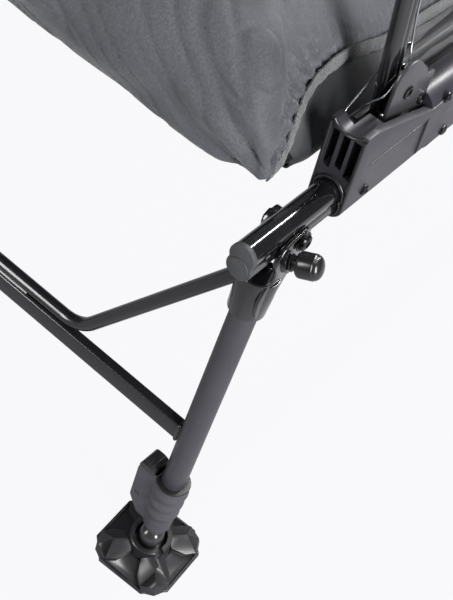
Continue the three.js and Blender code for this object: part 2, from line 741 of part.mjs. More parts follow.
// Button: a lever between the box's cheeks, ribbed for the thumb, on its own pin.
function clampButton() {
  const top = CLAMP_START + CLAMP_LENGTH;
  const halfWidth = CLAMP_SLOT_HALF_WIDTH - FIT;
  const foot = BUTTON_PIN_RISE - CLAMP_SLOT_START - FIT;
  const face = CLAMP_REACH - FIT;
  const lever = alongY(polygon([
    [-BUTTON_PIN_OUT - foot / 2, BUTTON_PIN_RISE - foot],
    [-BUTTON_PIN_OUT + foot / 2, BUTTON_PIN_RISE - foot],
    [-BUTTON_INNER, BUTTON_PIN_RISE],
    [-BUTTON_INNER, top],
    [-BUTTON_INNER, BUTTON_TOP - CLAMP_LIP],
    [-BUTTON_PIN_OUT + foot / 2, BUTTON_TOP],
    [-BUTTON_PIN_OUT - foot / 2, BUTTON_TOP],
    [-face, top],
    [-face, BUTTON_PIN_RISE + foot],
  ]), -halfWidth, halfWidth);
  const cap = alongY(polygon([
    [-face, top + 2 * FIT],
    [FIT - CLAMP_TOP_RADIUS, top + 2 * FIT],
    [-CLAMP_TOP_RADIUS, BUTTON_TOP - CLAMP_LIP],
    [-BUTTON_PIN_OUT + foot / 2, BUTTON_TOP],
    [-BUTTON_PIN_OUT - foot / 2, BUTTON_TOP],
  ]), -CLAMP_HALF_WIDTH + FIT, CLAMP_HALF_WIDTH - FIT);
  const pitch = (top - CLAMP_SLOT_START) / (BUTTON_RIBS + 2);
  const ribs = Array.from({ length: BUTTON_RIBS }, (_, i) => {
    const low = top - pitch * (i + 1);
    return block(-face - BUTTON_RIB, -face + BUTTON_RIB, -halfWidth, halfWidth, low, low + pitch / 2);
  });
  const pin = rod(at(-BUTTON_PIN_OUT, -CLAMP_HALF_WIDTH, BUTTON_PIN_RISE),
    at(-BUTTON_PIN_OUT, CLAMP_HALF_WIDTH, BUTTON_PIN_RISE), BUTTON_PIN_RADIUS);
  return onLeg(join(lever, cap, pin, ...ribs));
}

// The socket's facets stay clear of the ball's corners, however the foot is turned.
const socketRadius = (BALL_RADIUS + FIT) / Math.cos(Math.PI / COARSE);

// Mud foot: a square plate that rises to a ring, with a faceted lobe on each corner

function mudFoot() {
  const edge = FOOT_HALF_WIDTH - FOOT_CORNER_CUT;
  const octagon = (half, cutBy, z) => [[half, cutBy], [cutBy, half], [-cutBy, half], [-half, cutBy],
    [-half, -cutBy], [-cutBy, -half], [cutBy, -half], [half, -cutBy]].map(([x, y]) => at(x, y, z));
  const ringRim = octagon(FOOT_RING_RADIUS, FOOT_RING_RADIUS / 2, FOOT_SHOULDER);
  const plate = new ConvexGeometry([
    ...octagon(FOOT_HALF_WIDTH, edge, 0),
    ...octagon(FOOT_HALF_WIDTH - FIT, edge, FOOT_RIM),
    ...ringRim,
  ]);
  const lobes = [0, 1, 2, 3].map((quarter) => gemLobe().rotateZ((quarter * Math.PI) / 2 + Math.PI / 4));
  const ring = turned([
    [0, FOOT_RIM],
    [FOOT_RING_RADIUS + FIT, FOOT_RIM],
    [FOOT_RING_RADIUS, FOOT_RING_TOP],
    [0, FOOT_RING_TOP],
  ], COARSE);
  const socket = turned([
    [0, FOOT_SOCKET_FLOOR],
    [FOOT_SOCKET_RADIUS, FOOT_SOCKET_FLOOR],
    [FOOT_SOCKET_RADIUS, FOOT_RING_TOP + OVERRUN],
    [0, FOOT_RING_TOP + OVERRUN],
  ], COARSE);
  const foot = cut(join(plate, ...lobes, ring), socket, ball(at(0, 0, BALL_HEIGHT), socketRadius));
  return foot.rotateZ(degrees(FOOT_TURN)).translate(0, 0, -RAIL_HEIGHT);
}

// One corner lobe along +X: a keel that rises from the ring and falls to a low point.
function gemLobe() {
  const inner = FOOT_RING_RADIUS - FIT;
  const middle = (FOOT_RING_RADIUS + LOBE_REACH) / 2;
  const wings = [-LOBE_HALF_WIDTH, LOBE_HALF_WIDTH].flatMap((y) => [
    at(middle, y, 0),
    at(middle, y, LOBE_HEIGHT / 2),
    at(LOBE_REACH - FOOT_RIM, y / 2, 0),
    at(inner, y / 2, LOBE_HEIGHT - FOOT_RIM),
    at(inner, y / 2, 0),
  ]);
  return new ConvexGeometry([
    ...wings,
    at(inner, 0, LOBE_HEIGHT),
    at(middle, 0, LOBE_HEIGHT - FOOT_RIM / 2),
    at(LOBE_REACH, 0, FOOT_RIM),
    at(LOBE_REACH, 0, 0),
  ]);
}

// Housing: a slotted nose, an open channel for the strut and a rounded rear over the rail

function sideHousing() {
  const drop = HOUSING_BASE - HOUSING_STEP_DROP;
  const front = acrossX(polygon([
    [NOSE_FOOT, HOUSING_BASE],
    [HOUSING_STEP, HOUSING_BASE],
    [HOUSING_STEP, WALL_REAR_TOP],
    [CHANNEL_REAR, WALL_REAR_TOP],
    [NOSE_BACK, WALL_FRONT_TOP],
    [NOSE_BACK - OVERRUN, NOSE_TOP],
    [NOSE_FRONT, NOSE_TOP],
  ]), -HOUSING_HALF_WIDTH, HOUSING_HALF_WIDTH);
  const rear = acrossX(rounded([
    [CHANNEL_REAR, HOUSING_BASE],
    [HOUSING_STEP - HOUSING_STEP_DROP, HOUSING_BASE],
    [HOUSING_STEP, drop],
    [HOUSING_REAR, drop],
    [HOUSING_REAR, SPINE_TOP],
    [CHANNEL_REAR, SPINE_TOP],
  ], HOUSING_STEP_DROP / 2), -HOUSING_HALF_WIDTH, HOUSING_HALF_WIDTH);
  const spineCentre = SPINE_TOP - SPINE_RADIUS;
  const arch = new THREE.Shape();
  arch.absarc(0, spineCentre, HOUSING_HALF_WIDTH, 0, Math.PI, false);
  arch.lineTo(-HOUSING_HALF_WIDTH, drop);
  arch.lineTo(HOUSING_HALF_WIDTH, drop);
  arch.closePath();
  const archedRear = common(rear, alongY(arch, CHANNEL_REAR, HOUSING_REAR + OVERRUN));
  const boss = rod(
    at(0, BOSS_SETBACK, SEAT_TUBE_HEIGHT),
    at(SEAT_TUBE_RADIUS + FIT - SEAT_TUBE_OFFSET, BOSS_SETBACK, SEAT_TUBE_HEIGHT),
    BOSS_RADIUS,
  );
  const railBore = alongY(twoLobe(LOBE_RADIUS + FIT, LOBE_SPACING, 0), 0, 2 * HOUSING_REAR);
  const saddleCentre = NOSE_TOP - SADDLE_DIP + SADDLE_RADIUS;
  const saddle = rod(at(0, 0, saddleCentre), at(0, CHANNEL_REAR, saddleCentre), SADDLE_RADIUS, FINE);
  return cut(
    join(front, archedRear, boss),
    railBore,
    saddle,
    channel(),
    strutPinHole(-CHANNEL_INNER - STRUT_PIN_BLIND, 0),
    strutRest(),
    ...noseSlots(),
    sidePanel(),
  );
}

// The open channel behind the nose, with a ledge beside the catch plate.
function channel() {
  const ledge = PLATE_INNER + PLATE_THICKNESS + FIT;
  const lowPart = block(-CHANNEL_INNER, ledge, NOSE_BACK, CHANNEL_REAR, CHANNEL_FLOOR, WALL_REAR_TOP);
  const highStart = WALL_REAR_TOP - OVERRUN;
  const highPart = block(-CHANNEL_INNER, CHANNEL_OUTER, NOSE_BACK, CHANNEL_REAR, highStart, NOSE_TOP);
  const innerEdge = -HOUSING_HALF_WIDTH - OVERRUN;
  const innerWall = block(innerEdge, 0, NOSE_BACK, CHANNEL_REAR, INNER_WALL_TOP, NOSE_TOP);
  return join(lowPart, highPart, innerWall);
}

// The slope behind the saddle where the strut lies when the back is folded on the seat.
function strutRest() {
  return acrossX(polygon([
    [NOSE_BACK + OVERRUN, REST_REAR_HEIGHT],
    [NOSE_BACK + OVERRUN, NOSE_TOP + OVERRUN],
    [REST_FRONT, NOSE_TOP + OVERRUN],
    [REST_FRONT, REST_FRONT_HEIGHT],
    [NOSE_BACK, REST_REAR_HEIGHT],
  ]), -HOUSING_HALF_WIDTH - OVERRUN, -REST_OUTER);
}

function strutPinHole(from, to) {
  const on = (x) => at(x, STRUT_SETBACK, STRUT_HEIGHT);
  return rod(on(from), on(to), STRUT_PIN_RADIUS + FIT);
}

// Slots in the nose's front, whose tops follow the saddle.
function noseSlots() {
  const pitch = SLOT_WIDTH + SLOT_RIB;
  return Array.from({ length: SLOT_COUNT }, (_, i) => {
    const middle = (i - (SLOT_COUNT - 1) / 2) * pitch;
    return block(middle - SLOT_WIDTH / 2, middle + SLOT_WIDTH / 2, 0, SLOT_REACH, SLOT_BOTTOM, SLOT_TOP);
  });
}

// The long shallow recess on the housing's outer side.
function sidePanel() {
  const margin = NOSE_BACK - NOSE_FOOT;
  const shape = rounded([
    [NOSE_FOOT + margin / 2, HOUSING_BASE + OVERRUN],
    [CHANNEL_REAR, HOUSING_BASE + OVERRUN],
    [CHANNEL_REAR, WALL_REAR_TOP - 2 * OVERRUN],
  ], OVERRUN / 2);
  return acrossX(shape, HOUSING_HALF_WIDTH - PANEL_DEPTH, HOUSING_HALF_WIDTH + OVERRUN);
}

// Catch plate in the channel, which the strut's pin passes through

function catchPlate() {
  const rear = CHANNEL_REAR - FIT;
  const front = STRUT_SETBACK - STRUT_LOBE - FIT;
  const floor = CHANNEL_FLOOR + FIT;
  const outer = PLATE_INNER + PLATE_THICKNESS;
  const outline = rounded([
    [front, floor],
    [rear, floor],
    [rear, SPINE_TOP],
    ...PLATE_CREST.map(([distance, rise]) => [rear - distance, NOSE_TOP + rise]),
    [front + PLATE_TIP_SETBACK, NOSE_TOP + PLATE_TIP],
    [front, SPINE_TOP],
  ], PLATE_THICKNESS);
  const rivets = PLATE_RIVETS.map(([distance, rise]) => {
    const centre = (x) => at(x, front + distance, NOSE_TOP + rise);
    const crown = RIVET_RADIUS - RIVET_HEIGHT;
    return cone(centre(outer - RIVET_HEIGHT), centre(outer + RIVET_HEIGHT), RIVET_RADIUS, crown, SMALL);
  });
  return cut(join(acrossX(outline, PLATE_INNER, outer), ...rivets), strutPinHole(0, outer + OVERRUN));
}

// Strut: a flat toothed foot on its pin, a taper and a two-lobed tube with a round top

function strut() {
  const half = STRUT_LOBE + STRUT_SPACING / 2;
  const foot = acrossX(toothedFoot(half), -STRUT_FOOT_HALF, STRUT_FOOT_HALF);
  const lean = (geometry) => geometry.rotateY(-degrees(STRUT_INWARD)).translate(0, 0, STRUT_FOOT_LENGTH);
  const section = twoLobe(STRUT_LOBE, STRUT_SPACING, 0);
  const length = STRUT_LENGTH - STRUT_FOOT_LENGTH;
  const column = upZ(section, STRUT_TAPER, length + half);
  const roundTop = acrossX(roundTopped(half - FIT, length), -STRUT_LOBE - OVERRUN, STRUT_LOBE + OVERRUN, COARSE);
  const shaft = lean(common(column, roundTop));
  const seamFoot = (x) => [at(x, -half, -STRUT_BLEND), at(x, half, -STRUT_BLEND)];
  const seam = lean(new ConvexGeometry([
    ...[-STRUT_FOOT_HALF, STRUT_FOOT_HALF].flatMap(seamFoot),
    ...section.getPoints(ARC_STEPS).map(({ x, y }) => at(
      x * STRUT_BLEND_SHARE, y * STRUT_BLEND_SHARE, STRUT_TAPER + STRUT_BLEND,
    )),
  ]));
  const pin = rod(
    at(STRUT_OFFSET - CHANNEL_INNER - STRUT_PIN_BLIND + FIT, 0, 0),
    at(STRUT_OFFSET + PLATE_INNER + PLATE_THICKNESS, 0, 0),
    STRUT_PIN_RADIUS,
  );
  return join(foot, seam, shaft, pin).rotateX(degrees(STRUT_FORWARD))
    .translate(-STRUT_OFFSET, STRUT_SETBACK, STRUT_HEIGHT);
}

// A long upright outline with a half-round top at the given height.
function roundTopped(half, height) {
  const shape = new THREE.Shape();
  shape.moveTo(-half, 0);
  shape.lineTo(half, 0);
  shape.absarc(0, height, half, 0, Math.PI, false);
  shape.closePath();
  return shape;
}

// The foot's outline: straight flanks above, and ratchet teeth round its lower half.
function toothedFoot(half) {
  const shape = new THREE.Shape();
  shape.moveTo(half, STRUT_FOOT_LENGTH);
  shape.lineTo(-half, STRUT_FOOT_LENGTH);
  const root = half - TOOTH_DEPTH;
  for (let tooth = 0; tooth < TOOTH_COUNT; tooth += 1) {
    const start = Math.PI * (1 + tooth / TOOTH_COUNT);
    const gullet = start + Math.PI / 3 / TOOTH_COUNT;
    shape.lineTo(half * Math.cos(start), half * Math.sin(start));
    shape.lineTo(root * Math.cos(gullet), root * Math.sin(gullet));
  }
  shape.lineTo(half, 0);
  shape.closePath();
  return shape;
}

// Pawl that slides down the nose's back, with its tooth under the front of the strut's foot.
function lockPawl() {
  const back = NOSE_BACK + FIT;
  const reach = STRUT_LOBE + STRUT_SPACING / 2 + FIT;
  const angle = degrees(PAWL_TOOTH_ANGLE);
  const tooth = [STRUT_SETBACK - reach * Math.cos(angle), STRUT_HEIGHT - reach * Math.sin(angle)];
  const middle = (back + STRUT_SETBACK - reach) / 2;
  const outline = polygon([
    [back, PAWL_BASE],
    [tooth[0] - FIT, PAWL_BASE],
    tooth,
    [middle, PAWL_TOP - STRUT_PIN_RADIUS],
    [middle, PAWL_TOP],
    [back, PAWL_TOP],
  ]);
  return acrossX(outline, -STRUT_OFFSET - PAWL_HALF_WIDTH, PAWL_HALF_WIDTH - STRUT_OFFSET);
}

// Armrest: a channel open below, whose rear cheeks hang on the backrest's pin

const armPivot = at(
  0,
  BACK_SETBACK - BACK_ARM_LENGTH * Math.sin(degrees(BACK_ARM_LEAN)),
  BACK_HEIGHT + BACK_ARM_LENGTH * Math.cos(degrees(BACK_ARM_LEAN)),
);

function armrestFrame() {
  const left = -ARM_OFFSET - ARM_HALF_WIDTH;
  const right = ARM_HALF_WIDTH - ARM_OFFSET;
  const roof = ARM_ROOF + ARM_WALL;
  const cheek = [
    { y: armPivot.y, z: armPivot.z, r: ARM_LUG_RADIUS },
    { y: ARM_REAR - ARM_LUG_LENGTH, z: ARM_BASE + ARM_LUG_RADIUS, r: ARM_LUG_RADIUS },
  ];
  const frame = join(
    block(left, right, ARM_FRONT, ARM_REAR, ARM_BASE, roof),
    link(cheek, left, left + ARM_WALL),
    link(cheek, right - ARM_WALL, right),
  );
  const hollow = block(left + ARM_WALL, right - ARM_WALL, ARM_FRONT - OVERRUN, ARM_REAR - ARM_WALL,
    ARM_BASE - OVERRUN, ARM_ROOF);
  const pivotAt = (x) => at(x, armPivot.y, armPivot.z);
  const leverAt = (x) => at(x, LEVER_SETBACK, ARM_ROOF - LEVER_DEPTH);
  const pivot = rod(pivotAt(left - OVERRUN), pivotAt(right + OVERRUN), CLEAR_BOLT);
  const leverHole = rod(leverAt(-ARM_OFFSET), leverAt(right + OVERRUN), LEVER_PIN_RADIUS + FIT);
  return cut(frame, hollow, pivot, leverHole);
}

function armrestPad() {
  const left = -ARM_OFFSET - PAD_HALF_WIDTH + PAD_ROUND;
  const right = PAD_HALF_WIDTH - ARM_OFFSET - PAD_ROUND;
  const front = PAD_FRONT + PAD_ROUND;
  const rear = PAD_REAR - PAD_ROUND;
  const shape = rounded([[left, front], [right, front], [right, rear], [left, rear]], PAD_CORNER);
  const base = ARM_ROOF + ARM_WALL + FIT;
  return new THREE.ExtrudeGeometry(shape, {
    depth: PAD_HEIGHT - 2 * PAD_ROUND,
    curveSegments: ARC_STEPS,
    bevelThickness: PAD_ROUND,
    bevelSize: PAD_ROUND,
    bevelSegments: PAD_ROUND_STEPS,
  }).translate(0, 0, base + PAD_ROUND);
}

// Lever on the channel's outer side, with a finger blade below the pad.
function releaseLever() {
  const inner = ARM_HALF_WIDTH - ARM_OFFSET + FIT;
  const outer = inner + LEVER_THICKNESS;
  const hub = { y: LEVER_SETBACK, z: ARM_ROOF - LEVER_DEPTH, r: 2 * LEVER_PIN_RADIUS };
  const tail = { y: hub.y + LEVER_REACH, z: hub.z - LEVER_DROP, r: LEVER_PIN_RADIUS };
  const arm = link([hub, tail], inner, outer);
  const blade = block(inner, inner + LEVER_WIDTH, tail.y - LEVER_WIDTH, tail.y,
    tail.z - LEVER_PIN_RADIUS, tail.z - FIT);
  const pin = rod(at(inner - ARM_WALL, hub.y, hub.z), at(outer, hub.y, hub.z), LEVER_PIN_RADIUS);
  return join(arm, blade, pin);
}

function releaseCable() {
  const points = WIRE_ROUTE.map(([x, y, z]) => at(x, y, z));
  const route = new THREE.CatmullRomCurve3(points, false, 'centripetal');
  const section = new THREE.Shape().absarc(0, 0, WIRE_RADIUS, 0, 2 * Math.PI, false);
  const options = { steps: WIRE_STEPS, curveSegments: SMALL / 2, extrudePath: route };
  return new THREE.ExtrudeGeometry(section, options);
}

// Seat: a bent tube with a rear bar, a sling hemmed round it and a stuffed cushion

const seatTubeX = RAIL_HALF_SPAN - SEAT_TUBE_OFFSET;

function seatPath(rear) {
  return new StationPath([
    at(-seatTubeX, rear, SEAT_TUBE_HEIGHT),
    at(-seatTubeX, SEAT_TUBE_FRONT, SEAT_TUBE_HEIGHT),
    at(seatTubeX, SEAT_TUBE_FRONT, SEAT_TUBE_HEIGHT),
    at(seatTubeX, rear, SEAT_TUBE_HEIGHT),
  ], SEAT_TUBE_BEND);
}

function seatFrame() {
  const barSetback = SEAT_TUBE_REAR - SEAT_TUBE_RADIUS;
  const bar = (radius) => rod(
    at(-seatTubeX, barSetback, SEAT_TUBE_HEIGHT), at(seatTubeX, barSetback, SEAT_TUBE_HEIGHT), radius,
  );
  const bore = SEAT_TUBE_RADIUS - SEAT_TUBE_WALL;
  return cut(
    join(tube(seatPath(SEAT_TUBE_REAR), SEAT_TUBE_RADIUS), bar(SEAT_TUBE_RADIUS - FIT)),
    tube(seatPath(SEAT_TUBE_REAR + OVERRUN), bore, SMALL),
    bar(bore - FIT),
  );
}

function seatSling() {
  const hemRadius = SEAT_TUBE_RADIUS + FIT + HEM_WALL;
  const cloth = block(-seatTubeX, seatTubeX, SEAT_TUBE_FRONT, SLING_REAR,
    SLING_BASE, SLING_BASE + SLING_THICKNESS);
  const bosses = [-1, 1].map((side) => rod(
    at(side * RAIL_HALF_SPAN, BOSS_SETBACK, SEAT_TUBE_HEIGHT),
    at(side * seatTubeX, BOSS_SETBACK, SEAT_TUBE_HEIGHT),
    BOSS_RADIUS + HEM_WALL,
  ));
  return cut(
    join(tube(seatPath(SLING_REAR), hemRadius), cloth),
    tube(seatPath(SEAT_TUBE_REAR), SEAT_TUBE_RADIUS + FIT),
    ...bosses,
  );
}

// Rings of a stuffed cushion: an outline in two directions, drawn in towards both its sides,
// whose half width may differ from point to point of the outline.
function stuffed(outline, middleHeight, halfWidth, placed) {
  const rings = Array.from({ length: CUSHION_STATIONS + 1 }, (_, i) => {
    const across = -Math.cos((Math.PI * i) / CUSHION_STATIONS);
    const fullness = THREE.MathUtils.lerp(CUSHION_SIDE_SHARE, 1, Math.sqrt(1 - across ** 4));
    return outline.map(({ x, y }) => {
      const middle = middleHeight(x);
      return placed(halfWidth(x, y) * across, x, middle + (y - middle) * fullness);
    });
  });
  return loft(rings);
}

function seatMattress() {
  const shape = new THREE.Shape();
  shape.moveTo(SEAT_REAR, SEAT_BASE);
  shape.lineTo(SEAT_ROLL_SETBACK + SEAT_ROLL_RADIUS, SEAT_BASE);
  shape.quadraticCurveTo(SEAT_ROLL_SETBACK + SEAT_ROLL_RADIUS / 2, SEAT_BASE,
    SEAT_ROLL_SETBACK, SEAT_ROLL_HEIGHT - SEAT_ROLL_RADIUS);
  shape.absarc(SEAT_ROLL_SETBACK, SEAT_ROLL_HEIGHT, SEAT_ROLL_RADIUS, -Math.PI / 2, Math.PI / 2, true);
  shape.quadraticCurveTo((SEAT_ROLL_SETBACK + SEAT_REAR) / 2, SEAT_ROLL_HEIGHT + SEAT_ROLL_RADIUS,
    SEAT_REAR, SEAT_REAR_TOP);
  shape.closePath();
  const rearMiddle = (SEAT_BASE + SEAT_REAR_TOP) / 2;
  const slope = (rearMiddle - SEAT_ROLL_HEIGHT) / (SEAT_REAR - SEAT_ROLL_SETBACK);
  const middleHeight = (y) => SEAT_ROLL_HEIGHT + slope * (y - SEAT_ROLL_SETBACK);
  const outline = shape.getSpacedPoints(SEAT_OUTLINE_POINTS).slice(1).reverse();
  const halfWidth = (y, z) => {
    const distance = Math.hypot(y - POCKET_SETBACK, z - POCKET_HEIGHT);
    return RAIL_HALF_SPAN - SEAT_INSET + POCKET_REACH * Math.max(0, 1 - (distance / POCKET_SPREAD) ** 2);
  };
  const cushion = stuffed(outline, middleHeight, halfWidth, at);
  const hem = SEAT_TUBE_RADIUS + FIT + HEM_WALL + FIT;
  const sling = block(-seatTubeX, seatTubeX, SEAT_TUBE_FRONT, SEAT_REAR + OVERRUN, SLING_BASE - FIT,
    SLING_BASE + SLING_THICKNESS + FIT);
  const below = block(-seatTubeX, seatTubeX, SEAT_TUBE_FRONT, SEAT_TUBE_FRONT + SEAT_TUBE_BEND,
    SEAT_TUBE_HEIGHT - 2 * SEAT_TUBE_RADIUS, SEAT_TUBE_HEIGHT);
  return cut(cushion, tube(seatPath(SEAT_REAR + OVERRUN), hem), sling, below);
}

// Backrest, modelled upright about its pivot and then leaned back

function leanBack(geometry) {
  return geometry.rotateX(-degrees(BACK_LEAN)).translate(0, BACK_SETBACK, BACK_HEIGHT);
}

const backTubeX = RAIL_HALF_SPAN - BACK_TUBE_OFFSET;

function backPath(start, end) {
  return new StationPath([
    at(-backTubeX, 0, start),
    at(-backTubeX, 0, end),
    at(backTubeX, 0, end),
    at(backTubeX, 0, start),
  ], BACK_BEND);
}

function backFrame() {
  const frame = leanBack(tube(backPath(-BACK_TAIL, BACK_LENGTH), BACK_TUBE_RADIUS));
  const bore = leanBack(
    tube(backPath(-BACK_TAIL - OVERRUN, BACK_LENGTH), BACK_TUBE_RADIUS - BACK_TUBE_WALL, SMALL),
  );
  const lugs = [-1, 1].map((side) => reflected(backLug().translate(RAIL_HALF_SPAN, 0, 0), side, 1));
  const holes = [-1, 1].map((side) => rod(
    at(0, BACK_SETBACK, BACK_HEIGHT), at(side * RAIL_HALF_SPAN, BACK_SETBACK, BACK_HEIGHT), CLEAR_BOLT,
  ));
  return cut(join(frame, ...lugs), bore, ...holes);
}

// The plate and headed pin that carry an armrest, in the side's own frame.
function backLug() {
  const plateInner = HINGE_EAR_INNER + HINGE_EAR_THICKNESS;
  const root = {
    y: BACK_SETBACK + BACK_ARM_LENGTH * Math.sin(degrees(BACK_LEAN)),
    z: BACK_HEIGHT + BACK_ARM_LENGTH * Math.cos(degrees(BACK_LEAN)),
    r: BACK_TUBE_RADIUS - FIT,
  };
  const eye = { y: armPivot.y, z: armPivot.z, r: ARM_LUG_RADIUS };
  const plate = link([root, eye], -plateInner, -HINGE_EAR_INNER);
  const headStart = ARM_HALF_WIDTH - ARM_OFFSET + FIT;
  const pinAt = (x) => at(x, armPivot.y, armPivot.z);
  return join(
    plate,
    rod(pinAt(FIT - plateInner), pinAt(headStart + FIT), BOLT_RADIUS),
    rod(pinAt(headStart), pinAt(headStart + PLATE_THICKNESS), BOLT_HEAD_RADIUS),
  );
}

function backSling() {
  const hemRadius = BACK_TUBE_RADIUS + FIT + HEM_WALL;
  const onTubes = (margin, radius) => [-backTubeX, backTubeX].map((x) => rod(
    at(x, 0, BACK_SLING_START - margin), at(x, 0, BACK_SLING_END + margin), radius,
  ));
  const cloth = block(-backTubeX, backTubeX, -hemRadius, SLING_THICKNESS - hemRadius,
    BACK_SLING_START, BACK_SLING_END);
  const hems = onTubes(0, hemRadius);
  return leanBack(cut(join(...hems, cloth), ...onTubes(OVERRUN, BACK_TUBE_RADIUS + FIT)));
}

function backMattress() {
  const near = -BACK_TUBE_RADIUS - HEM_WALL - 2 * FIT;
  const far = near - BACK_CUSHION_THICKNESS;
  const shape = rounded([
    [BACK_CUSHION_START, near],
    [BACK_CUSHION_START, far],
    [BACK_CUSHION_END, far],
    [BACK_CUSHION_END, near],
  ], BACK_CUSHION_THICKNESS / 2 - FIT);
  const upright = (x, z, y) => at(x, y, z);
  const middle = () => (near + far) / 2;
  const outline = shape.getSpacedPoints(BACK_OUTLINE_POINTS).slice(1).reverse();
  return leanBack(stuffed(outline, middle, () => RAIL_HALF_SPAN - BACK_INSET, upright));
}

// Casting clamped round the rail, whose arm carries the backrest's fused bolt

function backHinge() {
  const radius = LOBE_RADIUS + FIT + HINGE_WALL;
  const middle = (HINGE_FRONT + HINGE_REAR) / 2;
  const clamp = alongY(twoLobe(radius, LOBE_SPACING, 0), HINGE_FRONT, HINGE_REAR);
  const kneeAt = (height) => [-1, 1].flatMap((side) => [-HINGE_EAR_RADIUS, HINGE_EAR_RADIUS].map((y) => at(
    -HINGE_KNEE_OFFSET + side * HINGE_EAR_THICKNESS, middle + y, height,
  )));
  const ear = Array.from({ length: COARSE }, (_, i) => (2 * Math.PI * i) / COARSE).flatMap((turn) => {
    const y = BACK_SETBACK + HINGE_EAR_RADIUS * Math.cos(turn);
    const z = BACK_HEIGHT + HINGE_EAR_RADIUS * Math.sin(turn);
    return [at(-HINGE_EAR_INNER, y, z), at(HINGE_EAR_THICKNESS - HINGE_EAR_INNER, y, z)];
  });
  const knee = kneeAt(HINGE_KNEE_HEIGHT);
  const riser = new ConvexGeometry([...kneeAt(LOBE_RADIUS + LOBE_SPACING), ...knee]);
  const arm = new ConvexGeometry([...kneeAt(HINGE_KNEE_HEIGHT - HINGE_EAR_RADIUS), ...knee, ...ear]);
  const boltEnd = -BACK_TUBE_OFFSET - BACK_TUBE_RADIUS - FIT;
  const boltAt = (x) => at(x, BACK_SETBACK, BACK_HEIGHT);
  const bossAt = (x) => at(x, middle, SEAT_TUBE_HEIGHT);
  const boss = rod(bossAt(0), bossAt(SEAT_TUBE_RADIUS + FIT - SEAT_TUBE_OFFSET), BOSS_RADIUS);
  const railBore = alongY(twoLobe(LOBE_RADIUS + FIT, LOBE_SPACING, 0), 0, FOOT_SPREAD);
  return cut(join(
    clamp,
    riser,
    arm,
    boss,
    rod(boltAt(-HINGE_EAR_INNER), boltAt(boltEnd), BOLT_RADIUS),
    rod(boltAt(boltEnd), boltAt(boltEnd - PLATE_THICKNESS), BOLT_HEAD_RADIUS),
  ), railBore);
}

// Finishes

function finish(color, roughness, metalness = 0) {
  return new THREE.MeshStandardMaterial({ color, roughness, metalness });
}

const glossPaint = finish(0x0c0c0d, 0.2, 0.4);
const satinPaint = finish(0x1d1d1f, 0.4, 0.3);
const casting = finish(0x28282b, 0.5, 0.1);
const blackPlastic = finish(0x101012, 0.4);
const greyPlastic = finish(0x4a4a50, 0.55);
const capPlastic = finish(0x3e3f44, 0.6);
const blackCloth = finish(0x17181a, 0.7);
const greyCloth = finish(0x50504f, 0.85);
const padFoam = finish(0x1a1a1b, 0.8);
const steelWire = finish(0xb8bac0, 0.3, 1);

// The chair

const chair = new THREE.Group();
chair.name = 'carp_chair';

function place(group, name, geometry, material) {
  const mesh = new THREE.Mesh(geometry, material);
  mesh.name = name;
  group.add(mesh);
}

const sidePieces = [
  ['side_rail', sideRail(), glossPaint],
  ['rail_cap_front', railCap(), capPlastic],
  ['rail_cap_rear', reflected(railCap(), 1, -1).translate(0, FOOT_SPREAD, 0), capPlastic],
  ['side_housing', sideHousing(), casting],
  ['catch_plate', catchPlate(), satinPaint],
  ['strut', strut(), satinPaint],
  ['lock_pawl', lockPawl(), blackPlastic],
  ['armrest_frame', armrestFrame(), satinPaint],
  ['armrest_pad', armrestPad(), padFoam],
  ['release_lever', releaseLever(), blackPlastic],
  ['release_cable', releaseCable(), steelWire],
  ['back_hinge', backHinge(), casting],
];

const cornerPieces = [
  ['leg_bracket', legBracket(), satinPaint],
  ['pivot_bolt', pivotBolt(), blackPlastic],
  ['lock_knob', lockKnob(), blackPlastic],
  ['inner_leg', innerLeg(), satinPaint],
  ['leg_clamp', legClamp(), greyPlastic],
  ['clamp_button', clampButton(), blackPlastic],
  ['mud_foot', mudFoot(), blackPlastic],
];

for (const [side, across] of Object.entries(SIDES)) {
  const group = new THREE.Group();
  group.position.x = across * RAIL_HALF_SPAN;
  for (const [name, geometry, material] of sidePieces) {
    place(group, `${name}_${side}`, reflected(geometry, across, 1), material);
  }
  for (const [end, along, setback] of [['front', 1, 0], ['rear', -1, FOOT_SPREAD]]) {
    const corner = new THREE.Group();
    corner.position.y = setback;
    for (const [name, geometry, material] of cornerPieces) {
      place(corner, `${name}_${end}_${side}`, reflected(geometry, across, along), material);
    }
    group.add(corner);
  }
  chair.add(group);
}

const oneLegFrame = legFrame();
place(chair, 'front_leg_frame', oneLegFrame, glossPaint);
place(chair, 'rear_leg_frame', reflected(oneLegFrame, 1, -1).translate(0, FOOT_SPREAD, 0), glossPaint);
place(chair, 'seat_frame', seatFrame(), satinPaint);
place(chair, 'seat_sling', seatSling(), blackCloth);
place(chair, 'seat_mattress', seatMattress(), greyCloth);
place(chair, 'back_frame', backFrame(), satinPaint);
place(chair, 'back_sling', backSling(), blackCloth);
place(chair, 'back_mattress', backMattress(), greyCloth);

// The origin stands on the ground, in the middle of the chair's box.
const box = new THREE.Box3().setFromObject(chair, true);
chair.position.y = -(box.min.y + box.max.y) / 2;
chair.position.z = RAIL_HEIGHT;
chair.updateMatrixWorld(true);

export default chair;
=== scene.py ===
import math
import bpy
from mathutils import Matrix, Vector, noise


